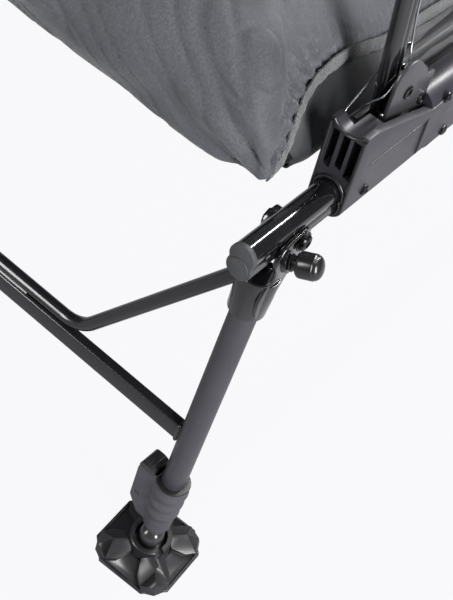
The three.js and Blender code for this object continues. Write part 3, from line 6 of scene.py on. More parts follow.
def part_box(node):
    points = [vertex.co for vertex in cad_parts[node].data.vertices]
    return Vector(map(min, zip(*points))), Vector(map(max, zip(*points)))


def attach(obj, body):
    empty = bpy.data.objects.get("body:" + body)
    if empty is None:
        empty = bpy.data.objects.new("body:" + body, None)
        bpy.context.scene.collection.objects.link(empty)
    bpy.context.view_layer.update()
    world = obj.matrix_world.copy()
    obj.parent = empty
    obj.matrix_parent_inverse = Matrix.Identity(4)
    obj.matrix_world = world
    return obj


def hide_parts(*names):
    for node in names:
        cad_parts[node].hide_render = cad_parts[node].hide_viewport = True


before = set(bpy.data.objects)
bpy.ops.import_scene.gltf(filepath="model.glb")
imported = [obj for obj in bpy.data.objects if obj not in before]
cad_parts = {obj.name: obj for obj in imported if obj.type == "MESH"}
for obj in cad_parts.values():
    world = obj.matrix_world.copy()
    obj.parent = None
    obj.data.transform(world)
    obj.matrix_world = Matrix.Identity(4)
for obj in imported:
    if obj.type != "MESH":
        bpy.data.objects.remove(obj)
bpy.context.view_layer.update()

# The studio
# A pale floor and an even white room. A long narrow lamp behind the chair draws a bright line down
# its glossy tubes, and three broad soft ones fill in from its left, from above and from its front.
# The camera looks down on the front left corner.
MILLIMETRE = 0.001
CAMERA_PLACE = (503.257, -801.229, 910.472)
CAMERA_RIGHT = Vector((0.754, 0.622, 0.212))
CAMERA_DOWN = Vector((0.592, -0.503, -0.630))
CAMERA_LENS = 63.2
CAMERA_SENSOR = 36
FLOOR_SIZE = 14
FLOOR_COLOUR = (0.32, 0.32, 0.335, 1)
PAPER_COLOUR = (0.956, 0.956, 0.973, 1)
PAPER_SHARE = 0.97
ROOM_COLOUR = (0.95, 0.97, 1, 1)
ROOM_STRENGTH = 0.09
LAMPS = [
    {"place": (0.39, 1.6, 2.05), "size": (0.17, 1.6), "power": 60, "towards": (0.3, -0.3, 0.4)},
    {"place": (2.2, -0.9, 1.3), "size": (0.6, 1.6), "power": 92, "towards": (0.2, -0.3, 0.4)},
    {"place": (0.5, 0.3, 2.6), "size": (1.4, 1.0), "power": 14, "towards": (0.1, 0, 0.4)},
    {"place": (-1.2, -2.4, 1.2), "size": (0.6, 1.6), "power": 42, "towards": (0, -0.3, 0.4)},
]


def deselect():
    if bpy.context.object and bpy.context.object.mode != "OBJECT":
        bpy.ops.object.mode_set(mode="OBJECT")
    bpy.ops.object.select_all(action="DESELECT")


def chosen(piece):
    deselect()
    piece.select_set(True)
    bpy.context.view_layer.objects.active = piece
    return piece


class Value:
    """A socket of a material, on which Python's operators add Math nodes."""

    def __init__(self, paint, socket):
        self.paint, self.socket = paint, socket

    def math(self, operation, *terms):
        return self.paint.node("ShaderNodeMath", {"operation": operation}, dict(enumerate(terms)))

    def __add__(self, other):
        return self.math("ADD", self, other)

    def __sub__(self, other):
        return self.math("SUBTRACT", self, other)

    def __rsub__(self, other):
        return self.math("SUBTRACT", other, self)

    def __mul__(self, other):
        return self.math("MULTIPLY", self, other)

    __radd__, __rmul__ = __add__, __mul__


class Paint:
    """A material: constants sit on its shader's own sockets, and nodes feed what varies."""

    def __init__(self, name, **constants):
        self.material = bpy.data.materials.new(name)
        self.material.use_nodes = True
        self.nodes = self.material.node_tree.nodes
        self.links = self.material.node_tree.links
        self.shader = self.nodes["Principled BSDF"]
        self.place = None
        self.set(self.shader, {socket.replace("_", " "): value for socket, value in constants.items()})

    def set(self, node, sockets):
        for name, value in sockets.items():
            if isinstance(value, Value):
                self.links.new(value.socket, node.inputs[name])
            else:
                node.inputs[name].default_value = value

    def node(self, kind, settings={}, sockets={}, output=0):
        made = self.nodes.new(kind)
        for name, value in settings.items():
            if name == "stops":
                for element, (position, level) in zip(made.color_ramp.elements, value):
                    element.position = position
                    element.color = (level, level, level, 1)
            else:
                setattr(made, name, value)
        self.set(made, sockets)
        return Value(self, made.outputs[output])

    def coordinates(self):
        if self.place is None:
            self.place = self.node("ShaderNodeTexCoord", output="Object")
        return self.place

    def noise(self, scale, detail=3, stretch=(1, 1, 1)):
        place = self.node("ShaderNodeMapping", {}, {"Vector": self.coordinates(), "Scale": stretch})
        return self.node("ShaderNodeTexNoise", {}, {"Vector": place, "Scale": scale, "Detail": detail})

    def step(self, value, low, high):
        return self.node("ShaderNodeValToRGB", {"stops": [(low, 0), (high, 1)]}, {"Fac": value})

    def mix(self, share, first, second):
        return self.node("ShaderNodeMix", {"data_type": "RGBA"}, {0: share, 6: first, 7: second}, output=2)

    def bump(self, height, depth):
        return self.node("ShaderNodeBump", {}, {"Height": height, "Distance": depth})

    def feed(self, **sockets):
        self.set(self.shader, {name.replace("_", " "): value for name, value in sockets.items()})
        return self.material


def studio_floor():
    deselect()
    bpy.ops.mesh.primitive_plane_add(size=FLOOR_SIZE)
    floor = bpy.context.object
    floor.name = "studio_floor"
    paint = Paint("studio_floor", Base_Color=FLOOR_COLOUR, Roughness=0.9)
    glow = paint.node("ShaderNodeEmission", {}, {"Color": PAPER_COLOUR, "Strength": 1})
    share = paint.node("ShaderNodeLightPath", output="Is Camera Ray") * PAPER_SHARE
    dull = Value(paint, paint.shader.outputs[0])
    mixed = paint.node("ShaderNodeMixShader", {}, {0: share, 1: dull, 2: glow})
    paint.links.new(mixed.socket, paint.nodes["Material Output"].inputs["Surface"])
    floor.data.materials.append(paint.material)


def studio_room():
    world = bpy.data.worlds.new("studio_room")
    bpy.context.scene.world = world
    world.use_nodes = True
    nodes, links = world.node_tree.nodes, world.node_tree.links
    room = nodes["Background"]
    room.inputs["Color"].default_value = ROOM_COLOUR
    room.inputs["Strength"].default_value = ROOM_STRENGTH
    backdrop = nodes.new("ShaderNodeBackground")
    backdrop.inputs["Color"].default_value = PAPER_COLOUR
    seen = nodes.new("ShaderNodeLightPath")
    mixed = nodes.new("ShaderNodeMixShader")
    links.new(seen.outputs["Is Camera Ray"], mixed.inputs[0])
    links.new(room.outputs[0], mixed.inputs[1])
    links.new(backdrop.outputs[0], mixed.inputs[2])
    links.new(mixed.outputs[0], nodes["World Output"].inputs["Surface"])


def studio_lamp(number, place, size, power, towards):
    deselect()
    bpy.ops.object.light_add(type="AREA", location=place)
    lamp = bpy.context.object
    lamp.name = f"studio_lamp_{number}"
    lamp.data.shape = "RECTANGLE"
    lamp.data.size, lamp.data.size_y = size
    lamp.data.energy = power
    lamp.rotation_euler = (Vector(towards) - Vector(place)).to_track_quat("-Z", "Y").to_euler()


def studio_camera():
    deselect()
    bpy.ops.object.camera_add()
    camera = bpy.context.object
    right, down = CAMERA_RIGHT.normalized(), CAMERA_DOWN.normalized()
    back = right.cross(-down)
    turn = Matrix((right, -down, back)).transposed().to_4x4()
    camera.matrix_world = Matrix.Translation(Vector(CAMERA_PLACE) * MILLIMETRE) @ turn
    camera.data.lens = CAMERA_LENS
    camera.data.sensor_width = CAMERA_SENSOR
    bpy.context.scene.camera = camera


bpy.context.scene.view_settings.view_transform = "Standard"
studio_floor()
studio_room()
for number, lamp in enumerate(LAMPS):
    studio_lamp(number, **lamp)
studio_camera()

# Side rails
# Each side hangs on a drawn steel tube of two joined lobes, sprayed gloss black, with fine
# drawn ridges along its lower outer side. A side is modelled in millimetres in its own frame,
# x outward from the rail and y back from the front foot, and then put in place on both sides.
RAIL_HALF_SPAN = 300
FOOT_SPREAD = 730
RAIL_HEIGHT = 415
RAIL_START = -3.7
LOBE_RADIUS = 10
LOBE_SPACING = 10
LOW_LOBE = RAIL_HEIGHT - LOBE_SPACING / 2
RIDGE_HEIGHT = 0.35
RIDGE_ANGLES = [-4, -16, -28, -40]
ROUND_STEPS = 48
EDGE_ANGLE = math.radians(32)
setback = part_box("side_rail_L")[0].y / MILLIMETRE - RAIL_START
SIDES = {"L": 1, "R": -1}
ENDS = {"front": 1, "rear": -1}
WAYS = {"X": Vector((1, 0, 0)), "Y": Vector((0, 1, 0)), "Z": Vector((0, 0, 1))}


def edit(piece, action="SELECT"):
    chosen(piece)
    bpy.ops.object.mode_set(mode="EDIT")
    bpy.ops.mesh.select_all(action=action)


def face_outward(piece):
    edit(piece)
    bpy.ops.mesh.normals_make_consistent(inside=False)
    bpy.ops.object.mode_set(mode="OBJECT")
    return piece


def prism(outline, start, end, along):
    """An outline in the two axes other than along, filled and extruded from start to end."""
    deselect()
    bpy.ops.mesh.primitive_circle_add(vertices=len(outline), fill_type="NGON")
    piece = bpy.context.object
    for vertex, (u, v) in zip(piece.data.vertices, outline):
        vertex.co = {"X": (start, u, v), "Y": (u, start, v), "Z": (u, v, start)}[along]
    edit(piece)
    bpy.ops.mesh.extrude_region_move(TRANSFORM_OT_translate={"value": WAYS[along] * (end - start)})
    return face_outward(piece)


def box(x0, x1, y0, y1, z0, z1):
    return prism([(x0, y0), (x1, y0), (x1, y1), (x0, y1)], z0, z1, "Z")


def arc(centre, radius, first, last, steps):
    """Points on a circle, between two angles in degrees."""
    angles = [math.radians(first + (last - first) * i / steps) for i in range(steps + 1)]
    return [(centre[0] + radius * math.cos(a), centre[1] + radius * math.sin(a)) for a in angles]


def circle(centre, radius, steps=ROUND_STEPS):
    return arc(centre, radius, 0, 360, steps)[:-1]


def looped(points):
    return points + points[:1]


def two_lobes(radius, spacing, height):
    """Two overlapping circles, one above the other."""
    waist = math.degrees(math.asin(spacing / 2 / radius))
    upper = arc((0, height + spacing / 2), radius, -waist, 180 + waist, ROUND_STEPS)
    lower = arc((0, height - spacing / 2), radius, 180 - waist, 360 + waist, ROUND_STEPS)
    return upper + lower[1:-1]


def modified(piece, kind, **settings):
    chosen(piece)
    modifier = piece.modifiers.new(kind.lower(), kind)
    for name, value in settings.items():
        setattr(modifier, name, value)
    bpy.ops.object.modifier_apply(modifier=modifier.name)
    return piece


def softened(piece, width, segments=2, angle=EDGE_ANGLE):
    """Rounds a piece's sharp edges and shades the rest smooth."""
    modified(piece, "BEVEL", width=width, segments=segments, limit_method="ANGLE", angle_limit=angle)
    return smooth(piece)


def smooth(piece):
    chosen(piece)
    bpy.ops.object.shade_smooth_by_angle(angle=EDGE_ANGLE)
    return piece


def rounded(outline, radius, steps=4):
    """An outline whose corners are rounded off."""
    points = []
    for before, corner, after in zip([outline[-1]] + outline, outline, outline[1:] + outline[:1]):
        corner, before, after = Vector(corner), Vector(before), Vector(after)
        start = corner.lerp(before, min(0.5, radius / (before - corner).length))
        end = corner.lerp(after, min(0.5, radius / (after - corner).length))
        for share in (i / steps for i in range(steps + 1)):
            points.append(tuple(start.lerp(corner, share).lerp(corner.lerp(end, share), share)))
    return points


def hull(points):
    """The outermost of some points in a plane, in order round them."""
    points = sorted(set(points))
    sides = []
    for row in (points, points[::-1]):
        side = []
        for x, y in row:
            while len(side) > 1:
                (ax, ay), (bx, by) = side[-2:]
                if (bx - ax) * (y - ay) - (by - ay) * (x - ax) > 0:
                    break
                side.pop()
            side.append((x, y))
        sides += side[:-1]
    return sides


def linked(circles, start, end, along="X"):
    """A plate whose outline runs round circles, each given as two places and a radius."""
    plates = []
    for first, second in zip(circles, circles[1:]):
        points = [p for u, v, r in (first, second) for p in circle((u, v), r)]
        plates.append(prism(hull(points), start, end, along))
    return merged(*plates)


def turned(profile, steps=ROUND_STEPS):
    """A round piece on the upward axis, from pairs of a radius and a height."""
    (radius, height), *rest = profile
    deselect()
    bpy.ops.mesh.primitive_circle_add(vertices=steps, radius=radius, fill_type="NGON")
    piece = bpy.context.object
    edit(piece)
    bpy.ops.transform.translate(value=(0, 0, height))
    for wide, high in rest:
        bpy.ops.mesh.extrude_region_move(TRANSFORM_OT_translate={"value": (0, 0, high - height)})
        bpy.ops.transform.resize(value=(wide / radius, wide / radius, 1), center_override=(0, 0, high))
        radius, height = wide, high
    return face_outward(piece)


def bent(points, bend, steps=10):
    """A path whose corners are arcs of one radius."""
    points = [Vector(p) for p in points]
    path = [points[0]]
    for before, corner, after in zip(points, points[1:], points[2:]):
        back, ahead = (before - corner).normalized(), (after - corner).normalized()
        half = back.angle(ahead) / 2
        centre = corner + (back + ahead).normalized() * bend / math.sin(half)
        start = (corner + back * bend / math.tan(half) - centre).normalized()
        end = (corner + ahead * bend / math.tan(half) - centre).normalized()
        path += [centre + start.slerp(end, i / steps) * bend for i in range(steps + 1)]
    return path + [points[-1]]


def flowing(points, steps):
    """A smooth curve through points, which leans on the neighbours of each."""
    points = [Vector(p) for p in points]
    padded = [points[0]] + points + [points[-1]]
    path = []
    for before, start, end, after in zip(padded, padded[1:], padded[2:], padded[3:]):
        pull = before * 2 - start * 5 + end * 4 - after
        twist = start * 3 - before - end * 3 + after
        for t in (i / steps for i in range(steps)):
            path.append(start + (end - before) * t / 2 + pull * t ** 2 / 2 + twist * t ** 3 / 2)
    return path + [points[-1]]


def swept(points, radius):
    """A round bar along a path."""
    deselect()
    bpy.ops.curve.primitive_bezier_curve_add()
    bar = bpy.context.object
    spline = bar.data.splines[0]
    spline.bezier_points.add(len(points) - 2)
    for point, place in zip(spline.bezier_points, points):
        point.handle_left_type = point.handle_right_type = "VECTOR"
        point.co = place
    spline.resolution_u = 1
    bar.data.bevel_depth = radius
    bar.data.bevel_resolution = 8
    bar.data.use_fill_caps = True
    bpy.ops.object.convert(target="MESH")
    return smooth(bpy.context.object)


def moved(piece, place=(0, 0, 0), towards=(0, 0, 1)):
    """Tips a piece's upward axis towards a direction and moves it."""
    tip = Vector(towards).to_track_quat("Z", "Y").to_matrix().to_4x4()
    piece.data.transform(Matrix.Translation(place) @ tip)
    return piece


def merged(*pieces):
    for other in pieces[1:]:
        modified(pieces[0], "BOOLEAN", operation="UNION", object=other, solver="EXACT")
        bpy.data.objects.remove(other)
    return pieces[0]


def joined(*pieces):
    deselect()
    for piece in pieces:
        piece.select_set(True)
    bpy.context.view_layer.objects.active = pieces[0]
    bpy.ops.object.join()
    return pieces[0]


def cut(piece, *tools):
    for tool in tools:
        modified(piece, "BOOLEAN", operation="DIFFERENCE", object=tool, solver="EXACT")
        bpy.data.objects.remove(tool)
    return piece


def placed(piece, name, body, material, nodes, across=1, along=1, span=RAIL_HALF_SPAN):
    """A copy of a piece in its place on the chair, in metres, that rides on a body."""
    copy = bpy.data.objects.new(name, piece.data.copy())
    bpy.context.scene.collection.objects.link(copy)
    end = setback if along > 0 else setback + FOOT_SPREAD
    put = Matrix.Translation((across * span, end, 0)) @ Matrix.Diagonal((across, along, 1, 1))
    copy.data.transform(Matrix.Scale(MILLIMETRE, 4) @ put)
    if across * along < 0:
        copy.data.flip_normals()
    copy.data.materials.clear()
    copy.data.materials.append(material)
    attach(copy, body)
    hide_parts(*nodes)
    return copy


def on_sides(piece, name, body, material, nodes=(), span=RAIL_HALF_SPAN):
    """Sets a piece on both sides. Names of bodies and nodes take the side's letter."""
    made = []
    for side, across in SIDES.items():
        stands_for = [node.format(side) for node in nodes]
        made.append(placed(piece, f"{name}_{side}", body.format(side), material, stands_for,
                           across, 1, span))
    bpy.data.objects.remove(piece)
    return made


def on_corners(piece, name, body, material, nodes=()):
    """Sets a piece on all four corners. Names take the end and the side, such as front_L."""
    for side, across in SIDES.items():
        for end, along in ENDS.items():
            corner = f"{end}_{side}"
            placed(piece, f"{name}_{corner}", body.format(corner, end), material,
                   [node.format(corner) for node in nodes], across, along)
    bpy.data.objects.remove(piece)


def in_middle(piece, name, body, material, nodes=(), along=1):
    made = placed(piece, name, body, material, nodes, 1, along, 0)
    bpy.data.objects.remove(piece)
    return made


def gloss_paint():
    paint = Paint("gloss_paint", Coat_Weight=1, Coat_Roughness=0.02)
    cloud = paint.noise(26, 4)
    dust = paint.step(paint.noise(420, 6), 0.62, 0.78)
    black = paint.mix(cloud, (0.004, 0.004, 0.005, 1), (0.008, 0.008, 0.009, 1))
    peel = paint.noise(700, 2) + dust * 0.4
    return paint.feed(Base_Color=paint.mix(dust * 0.25, black, (0.09, 0.09, 0.095, 1)),
                      Roughness=cloud * 0.1 + 0.1 + dust * 0.1, Normal=paint.bump(peel, 0.000006))


def side_rail():
    ridged = []
    for x, z in two_lobes(LOBE_RADIUS, LOBE_SPACING, RAIL_HEIGHT):
        angle = math.degrees(math.atan2(z - LOW_LOBE, x))
        near = min(abs(angle - ridge) for ridge in RIDGE_ANGLES)
        if x > 0 and z < RAIL_HEIGHT and near < 180 / ROUND_STEPS:
            push = 1 + RIDGE_HEIGHT / LOBE_RADIUS
            ridged.append((x * push, LOW_LOBE + (z - LOW_LOBE) * push))
        else:
            ridged.append((x, z))
    return smooth(prism(ridged, RAIL_START, FOOT_SPREAD - RAIL_START, "Y"))


rail_paint = gloss_paint()
on_sides(side_rail(), "rail_tube", "base", rail_paint, ["side_rail_{}"])

# Rail caps
# Matte dark grey nylon plugs with a lip the thickness of a coin. A disc on the lower lobe's
# face stands a little proud.
CAP_LIP_RADIUS = 10.3
CAP_FRONT = -7.4
CAP_BACK = -3
CAP_RAISED_RADIUS = 8.6
CAP_RAISE = 0.8
CAP_EDGE = 0.9


def moulded(name, dark, light, roughness, grain=0.00003, coat=0.0):
    """Moulded plastic: slow clouds in its colour, a fine spark-eroded grain and faint rubs."""
    paint = Paint(name, Coat_Weight=coat, Coat_Roughness=0.2, Specular_IOR_Level=0.45)
    cloud = paint.noise(35, 3)
    rub = paint.step(paint.noise(90, 5, (1, 0.25, 1)), 0.56, 0.75)
    colour = paint.mix(cloud, (*dark, 1), (*light, 1))
    grit = paint.noise(1500, 2) + paint.noise(600, 2) * 0.5
    return paint.feed(Base_Color=paint.mix(rub * 0.18, colour, (*[2.2 * c for c in light], 1)),
                      Roughness=cloud * 0.12 + (roughness - 0.06) - rub * 0.06,
                      Normal=paint.bump(grit, grain))


def rail_cap():
    lip = prism(two_lobes(CAP_LIP_RADIUS, LOBE_SPACING, RAIL_HEIGHT), CAP_FRONT, CAP_BACK, "Y")
    disc = prism(circle((0, LOW_LOBE), CAP_RAISED_RADIUS), CAP_FRONT - CAP_RAISE, CAP_BACK, "Y")
    return joined(softened(lip, CAP_EDGE), softened(disc, CAP_RAISE / 3))


cap_plastic = moulded("cap_plastic", (0.040, 0.041, 0.046), (0.052, 0.053, 0.058), 0.55)
on_corners(rail_cap(), "rail_plug", "base", cap_plastic, ["rail_cap_{}"])

# Leg frames
# Two steel tubes, a flat crossbar and a bent round brace above it, welded together. The tubes
# are powder coated satin, which shows as a soft grey band, and the bars between are glossier.
BALL_HEIGHT = 27
LEG_TILT = math.radians(4.92)
LEG_RADIUS = 11
LEG_START = 25.5
LEG_END = 346
CROSSBAR_RISE = 154.4
CROSSBAR_SETBACK = 2.4
CROSSBAR_HEIGHT = 18
CROSSBAR_DEPTH = 10
CROSSBAR_EDGE = 2
BRACE_RADIUS = 6.25
BRACE_BEND = 38
BRACE_OFFSET = 0.5
BRACE_RUN = 169
BRACE_KNEE = 165.6
BRACE_TOP = 352
BRACE_END = 286.3
WELD_RADIUS = 1.7
WELD_REACH = 24
LEG_PLACE = Matrix.Translation((0, 0, BALL_HEIGHT)) @ Matrix.Rotation(-LEG_TILT, 4, "X")


def on_leg(piece):
    piece.data.transform(LEG_PLACE)
    return piece


def powder_coat(name, dark, light, roughness, coat=0.0):
    """Baked powder: a fine orange peel, slow clouds, and specks of dust under the surface."""
    paint = Paint(name, Metallic=0.1, Coat_Weight=coat, Coat_Roughness=0.1)
    cloud = paint.noise(30, 4)
    speck = paint.step(paint.noise(520, 5), 0.66, 0.76)
    colour = paint.mix(cloud, (*dark, 1), (*light, 1))
    peel = paint.noise(1100, 3) + paint.noise(420, 2) * 0.6
    return paint.feed(Base_Color=paint.mix(speck * 0.3, colour, (*[3 * c for c in light], 1)),
                      Roughness=cloud * 0.1 + (roughness - 0.05) + speck * 0.1,
                      Normal=paint.bump(peel, 0.000015))


def trimmed(piece, place, outward):
    """Cuts a piece flat at a place, and takes off what lies beyond."""
    edit(piece)
    bpy.ops.mesh.bisect(plane_co=place, plane_no=outward, clear_outer=True, use_fill=True)
    bpy.ops.object.mode_set(mode="OBJECT")
    return smooth(piece)


def outer_leg(across):
    tube = prism(circle((across * RAIL_HALF_SPAN, 0), LEG_RADIUS), LEG_START, LEG_END, "Z")
    return on_leg(softened(tube, CROSSBAR_EDGE / 4))


def crossbar():
    reach = RAIL_HALF_SPAN - LEG_RADIUS / 2
    front, back = -CROSSBAR_SETBACK - CROSSBAR_DEPTH / 2, CROSSBAR_DEPTH / 2 - CROSSBAR_SETBACK
    low, high = CROSSBAR_RISE - CROSSBAR_HEIGHT / 2, CROSSBAR_RISE + CROSSBAR_HEIGHT / 2
    section = rounded([(front, low), (back, low), (back, high), (front, high)], CROSSBAR_EDGE)
    bar = smooth(prism(section, -reach, reach, "X"))
    welds = []
    for across in SIDES.values():
        end = across * (RAIL_HALF_SPAN - LEG_RADIUS)
        welds.append(swept(looped([(end, y, z) for y, z in section]), WELD_RADIUS))
    return on_leg(joined(bar, *welds))


def leg_brace():
    path = bent([
        (-RAIL_HALF_SPAN + BRACE_RADIUS, BRACE_OFFSET, BRACE_TOP),
        (-BRACE_KNEE, BRACE_OFFSET, BRACE_RUN),
        (BRACE_KNEE, BRACE_OFFSET, BRACE_RUN),
        (RAIL_HALF_SPAN - BRACE_RADIUS, BRACE_OFFSET, BRACE_TOP),
    ], BRACE_BEND)
    bar = swept(path, BRACE_RADIUS)
    for across in SIDES.values():
        trimmed(bar, (across * BRACE_END, 0, 0), (across, 0, 0))
    seams = []
    low = BRACE_RUN - BRACE_RADIUS
    for middle in (-BRACE_KNEE / 2, BRACE_KNEE / 2):
        ends = [(middle + reach, -CROSSBAR_SETBACK, low) for reach in (-WELD_REACH, WELD_REACH)]
        seams.append(swept(ends, WELD_RADIUS * 2))
    return on_leg(joined(bar, *seams))


leg_paint = powder_coat("leg_paint", (0.036, 0.035, 0.043), (0.050, 0.049, 0.058), 0.38)
bar_paint = powder_coat("bar_paint", (0.007, 0.007, 0.008), (0.014, 0.014, 0.016), 0.24, 0.5)
for end, along in ENDS.items():
    body, frame_node = f"{end}_legs", [f"{end}_leg_frame"]
    for side, across in SIDES.items():
        in_middle(outer_leg(across), f"outer_leg_{end}_{side}", body, leg_paint,
                  frame_node, along)
    in_middle(crossbar(), f"crossbar_{end}", body, bar_paint, frame_node, along)
    in_middle(leg_brace(), f"leg_brace_{end}", body, bar_paint, frame_node, along)

# Forks
# A pressed steel sleeve round each leg's top, whose sheet flares out and up into the ear outside
# the rail. The sleeve's lip and the ear's front edge are one shiny rolled flange.
COLLAR_RADIUS = 15.4
COLLAR_FOOT_RADIUS = 14.6
COLLAR_START = 315
COLLAR_END = 352
COLLAR_EDGE = 0.8
EAR_INNER = 10.4
EAR_OUTER = 13.2
EAR_OUTLINE = [
    (15, 366), (17, 374), (20.5, 381), (23, 388), (22.5, 396), (19.5, 404), (20, 411), (24.5, 416.5),
    (33, 419.5), (47.5, 420.5), (53, 419), (57, 414.5), (58, 409), (56, 401), (50, 388), (43, 374),
    (38.5, 362), (36, 350), (30, 343), (22, 343), (17, 350),
]
INNER_EAR_CIRCLES = [(31, 366, 7.5), (36, 387, 8), (47.5, 410, 10.5)]
FLANGE_RADIUS = 1.3
FLANGE_ROUTE = [
    (-11, 20.5, 378), (-6, 16.5, 378.7), (0, 14.9, 379.2), (6, 16, 379.6), (10.8, 18.6, 381),
    (13.4, 21.6, 384.5), (14, 23, 390), (14, 22, 397), (14, 19.3, 404), (14, 20, 411), (13.8, 24.5, 416.5),
    (13.4, 33, 419.2), (13.2, 45, 420),
]
BOSS_START = (15, 25.9, 406.2)
BOSS_RADIUS = 8
BOSS_LENGTH = 4.3
PULL_WAY = (1, math.tan(math.radians(14)), math.tan(math.radians(20)))


def leg_fork():
    collar = softened(turned([
        (COLLAR_FOOT_RADIUS - COLLAR_EDGE, COLLAR_START),
        (COLLAR_FOOT_RADIUS, COLLAR_START + COLLAR_EDGE),
        (COLLAR_RADIUS, (COLLAR_START + COLLAR_END) / 2),
        (COLLAR_RADIUS, COLLAR_END),
        (COLLAR_RADIUS - FLANGE_RADIUS, COLLAR_END),
        (LEG_RADIUS, COLLAR_END - FLANGE_RADIUS),
        (LEG_RADIUS, LEG_END - FLANGE_RADIUS),
    ]), COLLAR_EDGE / 2)
    on_leg(collar)
    outer = softened(prism(EAR_OUTLINE, EAR_INNER, EAR_OUTER, "X"), COLLAR_EDGE)
    inner = softened(linked(INNER_EAR_CIRCLES, -COLLAR_RADIUS, -EAR_INNER), COLLAR_EDGE)
    boss = softened(turned([(BOSS_RADIUS, 0), (BOSS_RADIUS, BOSS_LENGTH)]), COLLAR_EDGE)
    flange = swept(flowing(FLANGE_ROUTE, 4), FLANGE_RADIUS)
    return joined(collar, outer, inner, moved(boss, BOSS_START, PULL_WAY), flange)


fork_paint = powder_coat("fork_paint", (0.006, 0.006, 0.007), (0.013, 0.013, 0.015), 0.2, 0.8)
on_corners(leg_fork(), "leg_fork", "{1}_legs", fork_paint, ["leg_bracket_{}"])

# Pivot bolts
# Black zinc button-head bolts with a hexagon socket on a washer, and a domed nut inside.
PIVOT = (47.5, 410)
BOLT_RADIUS = 4
BOLT_START = 14.3
WASHER_RADIUS = 8
WASHER_HEIGHT = 1
HEAD_RADIUS = 6.6
HEAD_HEIGHT = 3.4
SOCKET_RADIUS = 3
SOCKET_DEPTH = 2
NUT_RADIUS = 6.8
NUT_HEIGHT = 4
HEX_SIDES = 6
DOME_SHARES = [(1, 0), (1, 0.35), (0.88, 0.72), (0.62, 0.95), (0.3, 1)]


def hex_screw(radius, height, socket):
    """A domed screw head with a hexagon socket, on the upward axis."""
    head = turned([(radius * wide, height * high) for wide, high in DOME_SHARES])
    recess = turned([(socket, height - SOCKET_DEPTH), (socket, 2 * height)], HEX_SIDES)
    return smooth(cut(head, recess))


def pivot_bolt():
    shank = turned([(BOLT_RADIUS, -BOLT_START), (BOLT_RADIUS, BOLT_START)])
    moved(shank, (0, *PIVOT), WAYS["X"])
    washer = softened(turned([(WASHER_RADIUS, 0), (WASHER_RADIUS, WASHER_HEIGHT)]), WASHER_HEIGHT / 3)
    head = moved(hex_screw(HEAD_RADIUS, HEAD_HEIGHT, SOCKET_RADIUS), (0, 0, WASHER_HEIGHT))
    outer = moved(joined(washer, head), (BOLT_START, *PIVOT), WAYS["X"])
    nut = softened(turned([(NUT_RADIUS, 0), (NUT_RADIUS, NUT_HEIGHT)], HEX_SIDES), WASHER_HEIGHT / 2)
    return joined(shank, outer, moved(nut, (-BOLT_START, *PIVOT), -WAYS["X"]))


def zinc(name, dark, light, roughness):
    """Blackened fasteners: metal with brighter rubs where a tool has touched it."""
    paint = Paint(name, Metallic=0.85)
    cloud = paint.noise(120, 5)
    rub = paint.step(paint.noise(600, 4), 0.55, 0.7)
    metal = paint.mix(cloud, (*dark, 1), (*light, 1))
    return paint.feed(Base_Color=paint.mix(rub * 0.35, metal, (0.3, 0.3, 0.31, 1)),
                      Roughness=cloud * 0.15 + roughness, Normal=paint.bump(paint.noise(1500, 2), 0.00002))


bolt_zinc = zinc("bolt_zinc", (0.012, 0.012, 0.013), (0.032, 0.032, 0.034), 0.16)
on_corners(pivot_bolt(), "hinge_bolt", "{1}_legs", bolt_zinc, ["pivot_bolt_{}"])

# Lock knobs
# A moulded grip, satin round its side and polished on its domed end, on a ribbed neck. Two
# small moulding pips show near its rim.
KNOB_PLACE = (19, 27, 407.7)
KNOB_RADIUS = 9.5
KNOB_LENGTH = 18
KNOB_NECK = 6
KNOB_STEM = [(2.5, -9), (2.5, 0.3)]
KNOB_RIBS = [(5.4, 0.3), (6.4, 1.2), (6.4, 2.4), (5.4, 3), (5.4, KNOB_NECK)]
KNOB_RIM = [(1.6, 0), (0.4, 1.2), (0, 2.6)]
KNOB_SHOULDER = (0.5, 0.6)
KNOB_DOME = 5
KNOB_CROWN = 1
PIP_RADIUS = 0.55
PIP_BELOW_DOME = 2
PIP_ANGLES = [-70, -118]


def lock_knob():
    end = KNOB_NECK + KNOB_LENGTH
    base = end - KNOB_DOME
    step_in, step_down = KNOB_SHOULDER
    profile = [(KNOB_RADIUS - less, KNOB_NECK + rise) for less, rise in KNOB_RIM]
    profile += [(KNOB_RADIUS, base - step_down), (KNOB_RADIUS - step_in, base)]
    for turn in map(math.radians, (15, 30, 45, 60, 75)):
        wide = KNOB_CROWN + (KNOB_RADIUS - step_in - KNOB_CROWN) * math.cos(turn)
        profile.append((wide, base + KNOB_DOME * math.sin(turn)))
    turnings = [smooth(turned(outline)) for outline in (KNOB_STEM, KNOB_RIBS, profile + [(KNOB_CROWN, end)])]
    pips = []
    for turn in map(math.radians, PIP_ANGLES):
        pip = turned([(PIP_RADIUS, 0), (PIP_RADIUS * 0.6, PIP_RADIUS / 2)], 12)
        out = Vector((math.cos(turn), math.sin(turn), 0))
        pips.append(moved(pip, out * KNOB_RADIUS + WAYS["Z"] * (base - PIP_BELOW_DOME), out))
    return moved(joined(*turnings, *pips), KNOB_PLACE, PULL_WAY)


knob_plastic = moulded("knob_plastic", (0.007, 0.007, 0.008), (0.012, 0.012, 0.013), 0.26, 0.00002, 0.3)
on_corners(lock_knob(), "pull_knob", "lock_knob_{}", knob_plastic, ["lock_knob_{}"])

# Inner legs
# A steel tube that slides in the outer leg, with a glossy moulded ball and tapering neck
# pressed into its end.
INNER_LEG_RADIUS = 9
INNER_LEG_END = 200
BALL_RADIUS = 12
BALL_FIRST, BALL_LAST = -84, 48
BALL_STEPS = 22
LEG_NECK = [(7.1, 10.6), (6.6, 12.5), (6.9, 15), (INNER_LEG_RADIUS, 21), (INNER_LEG_RADIUS, INNER_LEG_END)]


